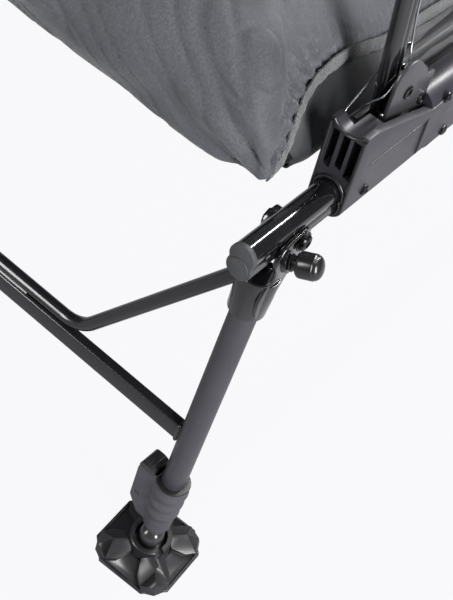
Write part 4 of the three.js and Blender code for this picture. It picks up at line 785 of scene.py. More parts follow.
def inner_leg():
    ball = arc((0, 0), BALL_RADIUS, BALL_FIRST, BALL_LAST, BALL_STEPS)
    return on_leg(smooth(turned(ball + LEG_NECK)))


ball_plastic = moulded("ball_plastic", (0.020, 0.020, 0.021), (0.034, 0.034, 0.036), 0.22, 0.00001, 0.4)
on_corners(inner_leg(), "lower_leg", "inner_leg_{}", ball_plastic, ["inner_leg_{}"])

# Leg clamps
# A matte grey nylon sleeve on each outer leg's end, tapering downward with three soft finger
# bumps on its outer side. A box on its inner side carries the button, and a black lip ends it.
CLAMP_START = 22
CLAMP_STATIONS = 44
CLAMP_FOOT = 28
CLAMP_BULGE = 1
CLAMP_TOP = 88
CLAMP_TOP_RADIUS = 15.5
CLAMP_FOOT_RADIUS = 13
CLAMP_BORE = 12.6
CLAMP_HALF_WIDTH = 11
CLAMP_REACH = 31.8
CLAMP_SHOULDER = 44
CLAMP_EDGE = 2.4
SLOT_HALF_WIDTH = 7.5
SLOT_START = 47
BUTTON_PIN = (-24.4, 51.8)
BUTTON_PIN_RADIUS = 2.6
BUMP_COUNT = 3
BUMP_START = 39
BUMP_PITCH = 15
BUMP_HEIGHT = 1.5
LIP_HEIGHT = 2.2
LIP_BULGE = 0.4
LIP_PROUD = 0.6
LIP_SHOULDER = 1
LIP_OPENING = -12


def leg_clamp():
    profile = []
    for i in range(CLAMP_STATIONS + 1):
        share = i / CLAMP_STATIONS
        height = CLAMP_START + share * (CLAMP_TOP - CLAMP_START)
        radius = CLAMP_FOOT_RADIUS + (CLAMP_TOP_RADIUS - CLAMP_FOOT_RADIUS) * share
        rise = (height - BUMP_START) / BUMP_PITCH
        wave = 0.5 - 0.5 * math.cos(2 * math.pi * rise) if 0 < rise < BUMP_COUNT else 0
        profile.append((radius + BUMP_HEIGHT * wave, height))
    sleeve = turned(profile)
    casing = prism(rounded([
        (CLAMP_FOOT_RADIUS - CLAMP_REACH, CLAMP_FOOT),
        (CLAMP_BULGE - CLAMP_REACH, CLAMP_SHOULDER),
        (-CLAMP_REACH, CLAMP_TOP),
        (0, CLAMP_TOP),
        (0, CLAMP_FOOT),
    ], CLAMP_EDGE), -CLAMP_HALF_WIDTH, CLAMP_HALF_WIDTH, "Y")
    body = merged(sleeve, casing)
    beyond = -CLAMP_REACH - CLAMP_EDGE
    slot = prism([(beyond, SLOT_START), (-CLAMP_FOOT_RADIUS, SLOT_START), (-CLAMP_FOOT_RADIUS, 2 * CLAMP_TOP),
                  (beyond, 2 * CLAMP_TOP)], -SLOT_HALF_WIDTH, SLOT_HALF_WIDTH, "Y")
    bore = turned([(CLAMP_BORE, LEG_START), (CLAMP_BORE, 2 * CLAMP_TOP)])
    socket = moved(turned([(BUTTON_PIN_RADIUS, -CLAMP_REACH), (BUTTON_PIN_RADIUS, CLAMP_REACH)]),
                   (BUTTON_PIN[0], 0, BUTTON_PIN[1]), WAYS["Y"])
    return on_leg(softened(cut(body, slot, bore, socket), CLAMP_EDGE / 2, 3))


def clamp_lip():
    lip = turned([
        (CLAMP_TOP_RADIUS - LIP_BULGE, CLAMP_TOP - LIP_HEIGHT),
        (CLAMP_TOP_RADIUS + LIP_BULGE, CLAMP_TOP - LIP_SHOULDER),
        (CLAMP_TOP_RADIUS, CLAMP_TOP + LIP_PROUD),
        (LEG_RADIUS, CLAMP_TOP + LIP_PROUD),
    ])
    button_side = box(-CLAMP_REACH, LIP_OPENING, -CLAMP_REACH, CLAMP_REACH, CLAMP_START, 2 * CLAMP_TOP)
    return on_leg(cut(softened(lip, LIP_HEIGHT / 5), button_side))


clamp_plastic = moulded("clamp_plastic", (0.050, 0.049, 0.059), (0.064, 0.063, 0.074), 0.5, 0.00003)
lip_plastic = moulded("lip_plastic", (0.006, 0.006, 0.007), (0.011, 0.011, 0.012), 0.42)
on_corners(leg_clamp(), "clamp_sleeve", "{1}_legs", clamp_plastic, ["leg_clamp_{}"])
on_corners(clamp_lip(), "clamp_lip", "{1}_legs", lip_plastic, ["leg_clamp_{}"])

# Clamp buttons
# A black lever on a steel pin between the box's cheeks. Its top is a raised block with a fine
# parting line, and its face has grip ribs.
BUTTON_TOP = 94
BUTTON_INNER = -18.6
BUTTON_FACE = -31.5
BUTTON_FOOT = 4.5
BUTTON_EDGE = 1.2
BUTTON_GAP = 0.3
PIN_GAP = 0.4
RIB_COUNT = 5
RIB_RADIUS = 0.7
SEAM_HEIGHT = 0.5


def clamp_button():
    half, width = SLOT_HALF_WIDTH - BUTTON_GAP, CLAMP_HALF_WIDTH - BUTTON_GAP
    low = CLAMP_TOP + LIP_PROUD
    lever = prism(rounded([
        (BUTTON_PIN[0] - BUTTON_FOOT / 2, BUTTON_PIN[1] - BUTTON_FOOT),
        (BUTTON_PIN[0] + BUTTON_FOOT / 2, BUTTON_PIN[1] - BUTTON_FOOT),
        (BUTTON_INNER, BUTTON_PIN[1]),
        (BUTTON_INNER, BUTTON_TOP - CLAMP_EDGE),
        (BUTTON_FACE, BUTTON_TOP - CLAMP_EDGE),
        (BUTTON_FACE, BUTTON_PIN[1] + BUTTON_FOOT),
    ], BUTTON_EDGE), -half, half, "Y")
    cap = prism(rounded([
        (BUTTON_FACE, low),
        (-CLAMP_TOP_RADIUS + BUTTON_GAP, low),
        (-CLAMP_TOP_RADIUS, BUTTON_TOP - CLAMP_EDGE),
        (BUTTON_PIN[0] + BUTTON_FOOT, BUTTON_TOP),
        (BUTTON_PIN[0] - BUTTON_FOOT, BUTTON_TOP),
        (BUTTON_FACE, BUTTON_TOP - CLAMP_EDGE),
    ], BUTTON_EDGE), -width, width, "Y")
    body = softened(merged(lever, cap), BUTTON_EDGE / 2, 3)
    ends = (-CLAMP_HALF_WIDTH, CLAMP_HALF_WIDTH)
    pin = smooth(turned([(BUTTON_PIN_RADIUS - PIN_GAP, end) for end in ends]))
    moved(pin, (BUTTON_PIN[0], 0, BUTTON_PIN[1]), WAYS["Y"])

    def ridge(x, z, reach, radius):
        return swept([(x, y, z) for y in (BUTTON_EDGE - reach, reach - BUTTON_EDGE)], radius)
    seam = ridge(BUTTON_PIN[0], BUTTON_TOP, width, SEAM_HEIGHT)
    pitch = (CLAMP_TOP - SLOT_START) / (RIB_COUNT + 3)
    ribs = [ridge(BUTTON_FACE, CLAMP_TOP - pitch * i, half, RIB_RADIUS) for i in range(1, RIB_COUNT + 1)]
    return on_leg(joined(body, pin, seam, *ribs))


button_plastic = moulded("button_plastic", (0.018, 0.018, 0.019), (0.030, 0.030, 0.032), 0.3, 0.00002, 0.3)
on_corners(clamp_button(), "release_button", "clamp_button_{}", button_plastic,
           ["clamp_button_{}"])

# Mud feet
# Wide square plates of half-gloss nylon with cut corners and a rolled rim. Four faceted lobes
# fold up from the corners to a split ring, which holds the leg's ball and a small screw.
PLATE_HALF_WIDTH = 41
PLATE_CORNER = 24
PLATE_RIM = 4
PLATE_SHOULDER = 9
RING_RADIUS = 20
RING_TOP = 24
FOOT_SOCKET = [(13.5, 13), (15.5, 18), (15.5, 48)]
RING_GAP = 9
RING_GAP_TURN = math.radians(62)
FOOT_TURN = math.radians(4)
LOBE_REACH = 50
LOBE_HEIGHT = 19
LOBE_KEEL = [(19, 19), (35, 20), (48, 11.4), (LOBE_REACH, PLATE_RIM), (LOBE_REACH, 0)]
LOBE_SIDE = [
    (19, 10.5, 15), (19, 10.5, 0), (33, 15, 9.5), (43, 13.95, 8.93), (46, 12, PLATE_RIM), (46, 12, 0),
    (33, 15, 0),
]
FOOT_EDGE = 0.9
FACET_ANGLE = math.radians(20)
FOOT_SCREW = {"radius": 2.6, "height": 2, "socket": 1.1}
FOOT_SCREW_PLACE = (12, -17, 13.2)
FOOT_SCREW_WAY = (0.3, -0.5, 1)


def convex(points):
    """The closed convex skin over some points."""
    deselect()
    bpy.ops.mesh.primitive_circle_add(vertices=len(points))
    piece = bpy.context.object
    for vertex, place in zip(piece.data.vertices, points):
        vertex.co = place
    edit(piece)
    bpy.ops.mesh.delete(type="ONLY_FACE")
    bpy.ops.mesh.select_all(action="SELECT")
    bpy.ops.mesh.convex_hull()
    return face_outward(piece)


def octagon(half, corner, height):
    quarter = [(half, corner), (corner, half)]
    upper = quarter + [(-x, y) for x, y in quarter[::-1]]
    return [(x, y, height) for x, y in upper + [(-x, -y) for x, y in upper]]


def foot_lobe():
    """A folded lobe along X: a keel, and a facet on each side that dips to the plate."""
    points = [(x, 0, z) for x, z in LOBE_KEEL]
    for side in (-1, 1):
        points += [(x, side * y, z) for x, y, z in LOBE_SIDE]
    return convex(points)


def spun(piece, turn):
    piece.data.transform(Matrix.Rotation(turn, 4, "Z"))
    return piece


def mud_foot():
    rim = octagon(PLATE_HALF_WIDTH, PLATE_CORNER, PLATE_RIM / 2)
    plate = convex(octagon(PLATE_HALF_WIDTH, PLATE_CORNER, 0) + rim
                   + octagon(RING_RADIUS + 2, RING_RADIUS / 2, PLATE_SHOULDER))
    lobes = [spun(foot_lobe(), math.pi / 4 + quarter * math.pi / 2) for quarter in range(4)]
    ring = turned([(RING_RADIUS + 1, PLATE_RIM), (RING_RADIUS, RING_TOP - 1), (RING_RADIUS - 1, RING_TOP)])
    gap = box(-RING_GAP / 2, RING_GAP / 2, -2 * RING_RADIUS, 0, LOBE_HEIGHT - 1, 2 * RING_TOP)
    body = cut(merged(plate, *lobes, ring), turned(FOOT_SOCKET), spun(gap, RING_GAP_TURN))
    screw = moved(hex_screw(**FOOT_SCREW), FOOT_SCREW_PLACE, FOOT_SCREW_WAY)
    foot = joined(softened(body, FOOT_EDGE, 3, FACET_ANGLE), swept(looped(rim), PLATE_RIM / 2), screw)
    return spun(foot, FOOT_TURN)


foot_plastic = moulded("foot_plastic", (0.011, 0.011, 0.012), (0.020, 0.020, 0.022), 0.4, 0.00002, 0.12)
on_corners(mud_foot(), "foot_plate", "mud_foot_{}", foot_plastic, ["mud_foot_{}"])

# Side housings
# Each rail's middle runs through a glass-filled nylon housing, screwed together from outside. Its
# nose has three deep slots under a saddle, and its outer wall a long creased recess.
HOUSING_HALF_WIDTH = 15.5
HOUSING_BASE = 397
HOUSING_FRONT = [(95.6, 390), (88, 481), (101, 481), (190, 455), (225, 455), (225, 390)]
HOUSING_EDGE = 1.1
REAR_START = 190
REAR_END = 300
REAR_FLOOR = 391
REAR_STEP = 219
SPINE_HEIGHT = 450
SPINE_SHARE = 0.97
SADDLE_RADIUS = 14.6
SADDLE_HEIGHT = 490.6
CHANNEL_START = 118
CHANNEL_END = 190
CHANNEL_INNER = -12
CHANNELS_CUT = [(CHANNEL_INNER, 5.3, 434, 460), (CHANNEL_INNER, 9.5, 449, 490), (-31, 0, 461, 490)]
STRUT_REST = [(124, 459.5), (124, 490), (99, 490), (99, 473.5), (118, 459.5)]
STRUT_REST_END = -2.6
RAIL_GAP = 0.2
SLOT_PLACES = [(-9, 438), (0, 442), (9, 438)]
SLOT_WIDTH = 6.5
SLOT_TOP = 473
SLOT_END = 108
RIM_RADIUS = 1.3
RIM_REACH = 12.2
RIM_TOP = 478
SADDLE_ARC = (218, 322)
NOSE_FOOT = (95, 397)
NOSE_RAKE = 1 / 12
STRUT_PIVOT = (-7.7, 145, 456)
CREASE = [(15.5, 108, 447), (15.5, 190.5, 446), (15.5, 197, 404), (15.5, 135, 404)]
CREASE_DEPTHS = [0.35, 1.9, 1.1, 0.3]
CREASE_PAST = 1
RIDGE_RADIUS = 0.45
SCREWS = [(208, 457.8), (234.5, 411.6), (117, 418)]
SCREW_RADIUS = 4.6
SCREW_HEIGHT = 2.6
SCREW_SOCKET = SCREW_RADIUS / 2.4


def belly(floor, wide=HOUSING_HALF_WIDTH):
    """The housing's rounded underside, from its inner wall round to its outer one."""
    return [(x * wide, LOW_LOBE + z * (LOW_LOBE - floor)) for x, z in arc((0, 0), 1, 180, 360, ROUND_STEPS)]


def side_housing():
    wide, deep = HOUSING_HALF_WIDTH, 2 * HOUSING_HALF_WIDTH
    nose = prism(rounded(HOUSING_FRONT, HOUSING_EDGE, 2), -wide - 1, wide + 1, "X")
    spine = arc((0, SPINE_HEIGHT), wide, 0, 180, ROUND_STEPS)
    arch = [(x, SPINE_HEIGHT + (z - SPINE_HEIGHT) * SPINE_SHARE) for x, z in spine]
    rear = prism(arch + belly(REAR_FLOOR), REAR_STEP, REAR_END, "Y")
    shoulder = prism(arch + belly(HOUSING_BASE), REAR_START, REAR_STEP + 4, "Y")
    top = HOUSING_FRONT[1][1] + deep
    sleeve = prism([(wide, top), (-wide, top)] + belly(HOUSING_BASE), 0, REAR_END, "Y")
    modified(nose, "BOOLEAN", operation="INTERSECT", object=sleeve, solver="EXACT")
    bpy.data.objects.remove(sleeve)
    body = merged(nose, shoulder, rear)
    rail = prism(two_lobes(LOBE_RADIUS + RAIL_GAP, LOBE_SPACING, RAIL_HEIGHT), 0, 2 * REAR_END, "Y")
    saddle = prism(circle((0, SADDLE_HEIGHT), SADDLE_RADIUS), 0, CHANNEL_START + 1, "Y")
    channels = [box(x0, x1, CHANNEL_START, CHANNEL_END, z0, z1) for x0, x1, z0, z1 in CHANNELS_CUT]
    rest = prism(STRUT_REST, -deep, STRUT_REST_END, "X")
    half = SLOT_WIDTH / 2
    slots = [box(x - half, x + half, 0, SLOT_END, low, SLOT_TOP) for x, low in SLOT_PLACES]
    recess = convex([(x - depth, y, z) for (x, y, z), depth in zip(CREASE, CREASE_DEPTHS)]
                    + [(x + CREASE_PAST, y, z) for x, y, z in CREASE])
    return softened(cut(body, rail, saddle, *channels, rest, *slots, recess), HOUSING_EDGE / 2, 3)


def housing_rims():
    """Beads round the nose's front, its saddle and the rail's mouth, and the recess's ridge."""
    def bead(line):
        start, foot = NOSE_FOOT
        path = [(x, start - (z - foot) * NOSE_RAKE - RIM_RADIUS / 3, z) for x, z in line]
        return swept(path, RIM_RADIUS)
    edge = HOUSING_HALF_WIDTH - RIM_RADIUS
    dip = arc((0, SADDLE_HEIGHT), SADDLE_RADIUS + RIM_RADIUS * 1.3, *SADDLE_ARC, 16)
    sides = [(-edge, RIM_TOP)] + belly(HOUSING_BASE + RIM_RADIUS, edge) + [(edge, RIM_TOP)]
    mouth = looped(two_lobes(RIM_REACH, LOBE_SPACING, RAIL_HEIGHT))
    return joined(bead(dip), bead(sides), bead(mouth), swept(CREASE[:2], RIDGE_RADIUS))


housing_plastic = moulded("housing_plastic", (0.023, 0.022, 0.028), (0.032, 0.031, 0.039), 0.4, coat=0.05)
rim_plastic = moulded("rim_plastic", (0.014, 0.014, 0.015), (0.022, 0.022, 0.024), 0.3, 0.00002, 0.2)
on_sides(side_housing(), "rail_housing", "base", housing_plastic, ["side_housing_{}"])
on_sides(housing_rims(), "housing_rims", "base", rim_plastic, ["side_housing_{}"])
screws = [moved(hex_screw(SCREW_RADIUS, SCREW_HEIGHT, SCREW_SOCKET), (HOUSING_HALF_WIDTH, y, z), WAYS["X"])
          for y, z in SCREWS]
on_sides(joined(*screws), "housing_screws", "base", bolt_zinc, ["side_housing_{}"])

# Catch plates
# A stamped steel plate in each housing's channel, with a round head and a hooked tooth that
# stops the strut at full recline. Two hollow rivets hold it to the housing.
PLATE_INNER = 2
PLATE_OUTER = 5
PLATE_HEAD = (143, 497.5, 15.5)
PLATE_HEAD_TURN = (195, 48)
PLATE_OUTLINE = [
    (171, 495.5), (174.5, 488.5), (178, 487.5), (187.5, 486), (189.6, 481), (188.5, 475), (189.7, 466),
    (189.7, 434.3), (138.7, 434.3), (133.5, 458), (129, 478),
]
PLATE_EDGE = 0.5
PLATE_RIVETS = [(151.7, 483), (182.7, 463)]
RIVET_PROFILE = [(5.4, 0), (5.4, 1), (4.7, 1.6), (3.4, 1.6), (3, 0.2), (0.3, 0.2)]


def catch_plate():
    y, z, radius = PLATE_HEAD
    outline = arc((y, z), radius, *PLATE_HEAD_TURN, ROUND_STEPS // 2) + PLATE_OUTLINE
    return softened(prism(outline, PLATE_INNER, PLATE_OUTER, "X"), PLATE_EDGE)


plate_paint = powder_coat("plate_paint", (0.034, 0.034, 0.039), (0.052, 0.052, 0.058), 0.34, 0.15)
on_sides(catch_plate(), "stop_plate", "base", plate_paint, ["catch_plate_{}"])
rivets = [moved(smooth(turned(RIVET_PROFILE)), (PLATE_OUTER, y, z), WAYS["X"]) for y, z in PLATE_RIVETS]
on_sides(joined(*rivets), "plate_rivets", "base", bolt_zinc, ["catch_plate_{}"])

# Struts
# Two-lobed steel tubes, flattened at the foot into a plate with ratchet teeth that turns on a
# pin in the housing. The cable is led through a small bolt on the strut's rear.
STRUT_LEAN = math.radians(5)
STRUT_INWARD = math.radians(5.4)
STRUT_LOBE = 6
STRUT_SPACING = 6
STRUT_HALF = STRUT_LOBE + STRUT_SPACING / 2
STRUT_FOOT = 18
STRUT_TAPER = 22
STRUT_TOP = 204
STRUT_FLAT = 3
STRUT_PIN = [(3, -6.5), (4, -5.5), (4, 12.5)]
TOOTH_COUNT = 9
TOOTH_DEPTH = 1.2
GUIDE_RISES = [42, 60]
GUIDE_SCREW = {"radius": 2.6, "height": 5, "socket": 1.2}
GUIDE_PLACE = (3, 7)
GUIDE_WAY = (0.5, 1, 0)
CRIMP_LAP = (1, 0.5)


def strut_column():
    lobes = two_lobes(STRUT_LOBE, STRUT_SPACING, 0)
    column = prism(lobes, STRUT_TAPER, STRUT_TOP - STRUT_FOOT, "Z")
    below, above = CRIMP_LAP
    crimp = convex([(x, y, -below) for x in (-STRUT_FLAT, STRUT_FLAT) for y in (-STRUT_HALF, STRUT_HALF)]
                   + [(x, y, STRUT_TAPER + above) for x, y in lobes])
    guides = [moved(hex_screw(**GUIDE_SCREW), (*GUIDE_PLACE, rise - STRUT_FOOT), GUIDE_WAY)
              for rise in GUIDE_RISES]
    shaft = joined(smooth(column), smooth(crimp), *guides)
    shaft.data.transform(Matrix.Translation((0, 0, STRUT_FOOT)) @ Matrix.Rotation(-STRUT_INWARD, 4, "Y"))
    return shaft


def strut():
    teeth = [(STRUT_HALF, STRUT_FOOT), (-STRUT_HALF, STRUT_FOOT)]
    for tooth in range(TOOTH_COUNT):
        for radius, share in ((STRUT_HALF, 0), (STRUT_HALF - TOOTH_DEPTH, 1 / 3)):
            turn = math.pi * (1 + (tooth + share) / TOOTH_COUNT)
            teeth.append((radius * math.cos(turn), radius * math.sin(turn)))
    foot = softened(prism(teeth + [(STRUT_HALF, 0)], -STRUT_FLAT, STRUT_FLAT, "X"), TOOTH_DEPTH / 4)
    whole = joined(foot, strut_column(), moved(smooth(turned(STRUT_PIN)), towards=WAYS["X"]))
    whole.data.transform(Matrix.Translation(STRUT_PIVOT) @ Matrix.Rotation(STRUT_LEAN, 4, "X"))
    return whole


on_sides(strut(), "arm_strut", "strut_{}", fork_paint, ["strut_{}"])

# Lock pawls
# A small hardened block in the nose's back, whose tooth catches the strut's ratchet. A cast rib
# on its back slides in the nose.
PAWL_OUTLINE = [(118.3, 441), (138.8, 441), (139.2, 448.9), (127.2, 451), (127.2, 455), (118.3, 455)]
PAWL_HALF_WIDTH = 3.5
PAWL_EDGE = 0.6


def lock_pawl():
    middle = STRUT_PIVOT[0]
    return softened(prism(PAWL_OUTLINE, middle - PAWL_HALF_WIDTH, middle + PAWL_HALF_WIDTH, "X"), PAWL_EDGE)


on_sides(lock_pawl(), "catch_pawl", "lock_pawl_{}", bolt_zinc, ["lock_pawl_{}"])

# Release cables
# Bright single-strand spring wire, 1.6 mm thick. It runs from the lever down the strut, loops
# loosely round its foot and turns back up beside the seat.
WIRE_RADIUS = 0.8
WIRE_STEPS = 4
WIRE_ROUTE = [
    (-8.3, 88, 648), (-8, 112, 632), (-10.9, 141, 585), (-12.5, 151, 550), (-9, 157, 517), (-3.4, 152, 505),
    (-1.4, 142, 498), (-2, 131.5, 485.5), (-8, 129, 477), (-14, 128, 467), (-18, 125, 459), (-18.6, 115, 453),
    (-19, 111, 464), (-19.4, 130, 477), (-19.6, 150, 489.5), (-19.4, 160, 497),
]


def spring_wire():
    paint = Paint("spring_wire", Metallic=1)
    drawn = paint.noise(900, 3, (1, 1, 0.05))
    return paint.feed(Base_Color=paint.mix(drawn, (0.42, 0.43, 0.46, 1), (0.62, 0.63, 0.66, 1)),
                      Roughness=drawn * 0.15 + 0.16)


wire_steel = spring_wire()
route = flowing(WIRE_ROUTE, WIRE_STEPS)
length = sum((end - start).length for start, end in zip(route, route[1:]))
wire = swept(route, WIRE_RADIUS)
for cable in on_sides(wire, "pull_wire", "strut_{}", wire_steel, ["release_cable_{}"]):
    across = SIDES[cable.name[-1]]
    path = [(across * (RAIL_HALF_SPAN + x) * MILLIMETRE, (y + setback) * MILLIMETRE, z * MILLIMETRE)
            for x, y, z in route]

# Armrests
# A folded steel channel, open below for the strut, carries a moulded foam pad with a soft rim.
# Its rear cheeks hang on the backrest's pin, and a lever under its front pulls the cable.
ARM_INNER = -39
ARM_OUTER = -14
ARM_FRONT = 50
ARM_REAR = 452
ARM_BASE = 650
ARM_TOP = 678
ARM_WALL = 2
ARM_EDGE = 0.7
ARM_CHEEK = [(437.7, 619.6, 9), (422, 659, 9)]
PAD_LEFT, PAD_RIGHT = -48.5, -4.5
PAD_FRONT, PAD_REAR = 40, 415
PAD_LOW, PAD_HIGH = 678.3, 698.3
PAD_CORNER = 16
PAD_ROUND = 5
LEVER_HUB = (75, 664, 6)
LEVER_TAIL = (123, 644, 3)
LEVER_SIDE = -13.7
LEVER_WIDTH = 14
LEVER_THICKNESS = 3
BLADE_THICKNESS = 2.7
LEVER_PIN = [(3, -2), (3, LEVER_THICKNESS)]


def arm_channel():
    channel = prism([
        (ARM_INNER, ARM_BASE), (ARM_INNER, ARM_TOP), (ARM_OUTER, ARM_TOP), (ARM_OUTER, ARM_BASE),
        (ARM_OUTER - ARM_WALL, ARM_BASE), (ARM_OUTER - ARM_WALL, ARM_TOP - ARM_WALL),
        (ARM_INNER + ARM_WALL, ARM_TOP - ARM_WALL), (ARM_INNER + ARM_WALL, ARM_BASE),
    ], ARM_FRONT, ARM_REAR, "Y")
    cheeks = [linked(ARM_CHEEK, start, start + ARM_WALL) for start in (ARM_INNER, ARM_OUTER - ARM_WALL)]
    return joined(*[softened(part, ARM_EDGE) for part in (channel, *cheeks)])


def arm_pad():
    corners = [(PAD_LEFT, PAD_FRONT), (PAD_RIGHT, PAD_FRONT), (PAD_RIGHT, PAD_REAR), (PAD_LEFT, PAD_REAR)]
    pad = prism(rounded(corners, PAD_CORNER, 8), PAD_LOW, PAD_HIGH, "Z")
    edit(pad, "DESELECT")
    bpy.ops.object.mode_set(mode="OBJECT")
    for face in pad.data.polygons:
        face.select = face.normal.z > 0.9
    bpy.ops.object.mode_set(mode="EDIT")
    bpy.ops.mesh.inset(thickness=PAD_ROUND, depth=0)
    bpy.ops.mesh.inset(thickness=ARM_WALL, depth=-ARM_WALL / 2)
    bpy.ops.object.mode_set(mode="OBJECT")
    return softened(pad, PAD_ROUND / 2, 4, FACET_ANGLE)


def arm_lever():
    arm = linked([LEVER_HUB, LEVER_TAIL], LEVER_SIDE, LEVER_SIDE + LEVER_THICKNESS)
    y, low = LEVER_TAIL[0], LEVER_TAIL[1] - LEVER_TAIL[2]
    blade = box(LEVER_SIDE, LEVER_SIDE + LEVER_WIDTH, y - LEVER_WIDTH, y, low, low + BLADE_THICKNESS)
    pin = moved(turned(LEVER_PIN), (LEVER_SIDE, *LEVER_HUB[:2]), WAYS["X"])
    return joined(softened(merged(arm, blade), ARM_EDGE), smooth(pin))


def pad_rubber():
    paint = Paint("pad_rubber", Sheen_Weight=0.2)
    pores = paint.noise(1300, 3)
    cloud = paint.noise(20, 3)
    return paint.feed(Base_Color=paint.mix(cloud, (0.016, 0.016, 0.017, 1), (0.026, 0.026, 0.027, 1)),
                      Roughness=cloud * 0.1 + 0.62, Normal=paint.bump(pores, 0.00012))


on_sides(arm_channel(), "arm_channel", "armrest_{}", bar_paint, ["armrest_frame_{}"])
pads = on_sides(arm_pad(), "arm_pad", "armrest_{}", pad_rubber(), ["armrest_pad_{}"])
on_sides(arm_lever(), "arm_lever", "release_lever_{}", button_plastic, ["release_lever_{}"])

# Back hinges
# Die-cast brackets clamped round the rails' rear, whose arms cross inward to the backrest's bolt.
HINGE_FRONT = 385
HINGE_REAR = 425
HINGE_RADIUS = 14.3
HINGE_EDGE = 1.2
KNEE = (-6, 405, 470)
KNEE_HALF = 6
EAR_RADIUS = 12
EAR_START, EAR_END = -50, -44
BACK_PIVOT = (446, 525)
BOLT_REACH = -77.3
BOLT_END = -80.3
BOLT_HEAD = 7
BOSS_INWARD = 25.7
BOSS_HEIGHT = 438


def knee_corners(height):
    x, y = KNEE[:2]
    return [(x + side * KNEE_HALF, y + end * EAR_RADIUS, height) for side in (-1, 1) for end in (-1, 1)]


def back_hinge():
    clamp = prism(two_lobes(HINGE_RADIUS, LOBE_SPACING, RAIL_HEIGHT), HINGE_FRONT, HINGE_REAR, "Y")
    rail = prism(two_lobes(LOBE_RADIUS + RAIL_GAP, LOBE_SPACING, RAIL_HEIGHT), 0, 2 * HINGE_REAR, "Y")
    riser = convex(knee_corners(RAIL_HEIGHT + LOBE_RADIUS + LOBE_SPACING) + knee_corners(KNEE[2]))
    rim = circle(BACK_PIVOT, EAR_RADIUS, ROUND_STEPS // 2)
    ear = [(x, y, z) for y, z in rim for x in (EAR_START, EAR_END)]
    arm = convex(knee_corners(KNEE[2] - EAR_RADIUS) + knee_corners(KNEE[2]) + ear)
    body = softened(cut(merged(clamp, riser, arm), rail), HINGE_EDGE, 3)
    boss = moved(turned([(BOLT_HEAD, 0), (BOLT_HEAD, BOSS_INWARD)]), (0, KNEE[1], BOSS_HEIGHT), -WAYS["X"])
    shank = [(BOLT_RADIUS, EAR_END), (BOLT_RADIUS, BOLT_REACH)]
    bolt = turned(shank + [(BOLT_HEAD, BOLT_REACH), (BOLT_HEAD, BOLT_END)])
    moved(bolt, (0, *BACK_PIVOT), WAYS["X"])
    return joined(body, softened(boss, HINGE_EDGE), smooth(bolt))


on_sides(back_hinge(), "hinge_bracket", "base", housing_plastic, ["back_hinge_{}"])

# Seat frame
# One bent steel tube under the seat, with a straight bar across its rear, powder coated black.
SEAT_TUBE_RADIUS = 12
SEAT_TUBE_SPAN = 262
SEAT_TUBE_FRONT = 60
SEAT_TUBE_REAR = 440
SEAT_TUBE_HEIGHT = 438
SEAT_TUBE_BEND = 55
SEAT_BAR_BACK = 428
SEAT_BAR_RADIUS = 11.7


def seat_path(rear):
    corners = [(-1, rear), (-1, SEAT_TUBE_FRONT), (1, SEAT_TUBE_FRONT), (1, rear)]
    return bent([(side * SEAT_TUBE_SPAN, y, SEAT_TUBE_HEIGHT) for side, y in corners], SEAT_TUBE_BEND)


def seat_tube():
    ends = [(x, SEAT_BAR_BACK, SEAT_TUBE_HEIGHT) for x in (-SEAT_TUBE_SPAN, SEAT_TUBE_SPAN)]
    return joined(swept(seat_path(SEAT_TUBE_REAR), SEAT_TUBE_RADIUS), swept(ends, SEAT_BAR_RADIUS))


in_middle(seat_tube(), "seat_tube", "base", bar_paint, ["seat_frame"])

# Seat sling
# Black satin polyester: a panel stretched between hems round the tube, and a gusset on each
# side that rises from the hem to the cushion's edge tape, with a sewn fold along its middle.
SLING_HEIGHT = 433.5
SLING_SAG = 3
SLING_REAR = 395
SLING_THICKNESS = 1.2
HEM_RADIUS = 14
EDGE_ROUTE = [
    (277, 46, 436), (274, 64, 438), (266, 78, 455), (260, 92, 467), (255, 110, 478), (252, 141, 479),
    (250, 180, 469), (249, 218, 460), (248, 300, 455), (247, 402, 450),
]
GUSSET_START = 68
GUSSET_FULL = 96
GUSSET_STATIONS = 60
GUSSET_RADIUS = 15.6
GUSSET_TIP = (272, 440)
GUSSET_TIP_RADIUS = 4.5
GUSSET_ANGLES = [38, 12, -15, -45, -75, -105, -130]
GUSSET_INSET = Vector((1.5, 0, 1))
GUSSET_DROP = 3
SLING_GRID = (48, 72)
RIPPLE = 0.5


def skin(rows):
    """A quad skin over rows of equally many points."""
    wide = len(rows[0])
    deselect()
    bpy.ops.mesh.primitive_grid_add(x_subdivisions=wide - 1, y_subdivisions=len(rows) - 1)
    piece = bpy.context.object
    for index, vertex in enumerate(piece.data.vertices):
        vertex.co = rows[index // wide][index % wide]
    return face_outward(piece)


def cloth_marks(piece, place):
    """Stores where each point lies on the flat cloth, in metres, for the weave to follow."""
    marks = piece.data.attributes.new("cloth", "FLOAT_VECTOR", "POINT")
    for vertex, mark in zip(piece.data.vertices, marks.data):
        mark.vector = Vector(place(vertex.co)) * MILLIMETRE


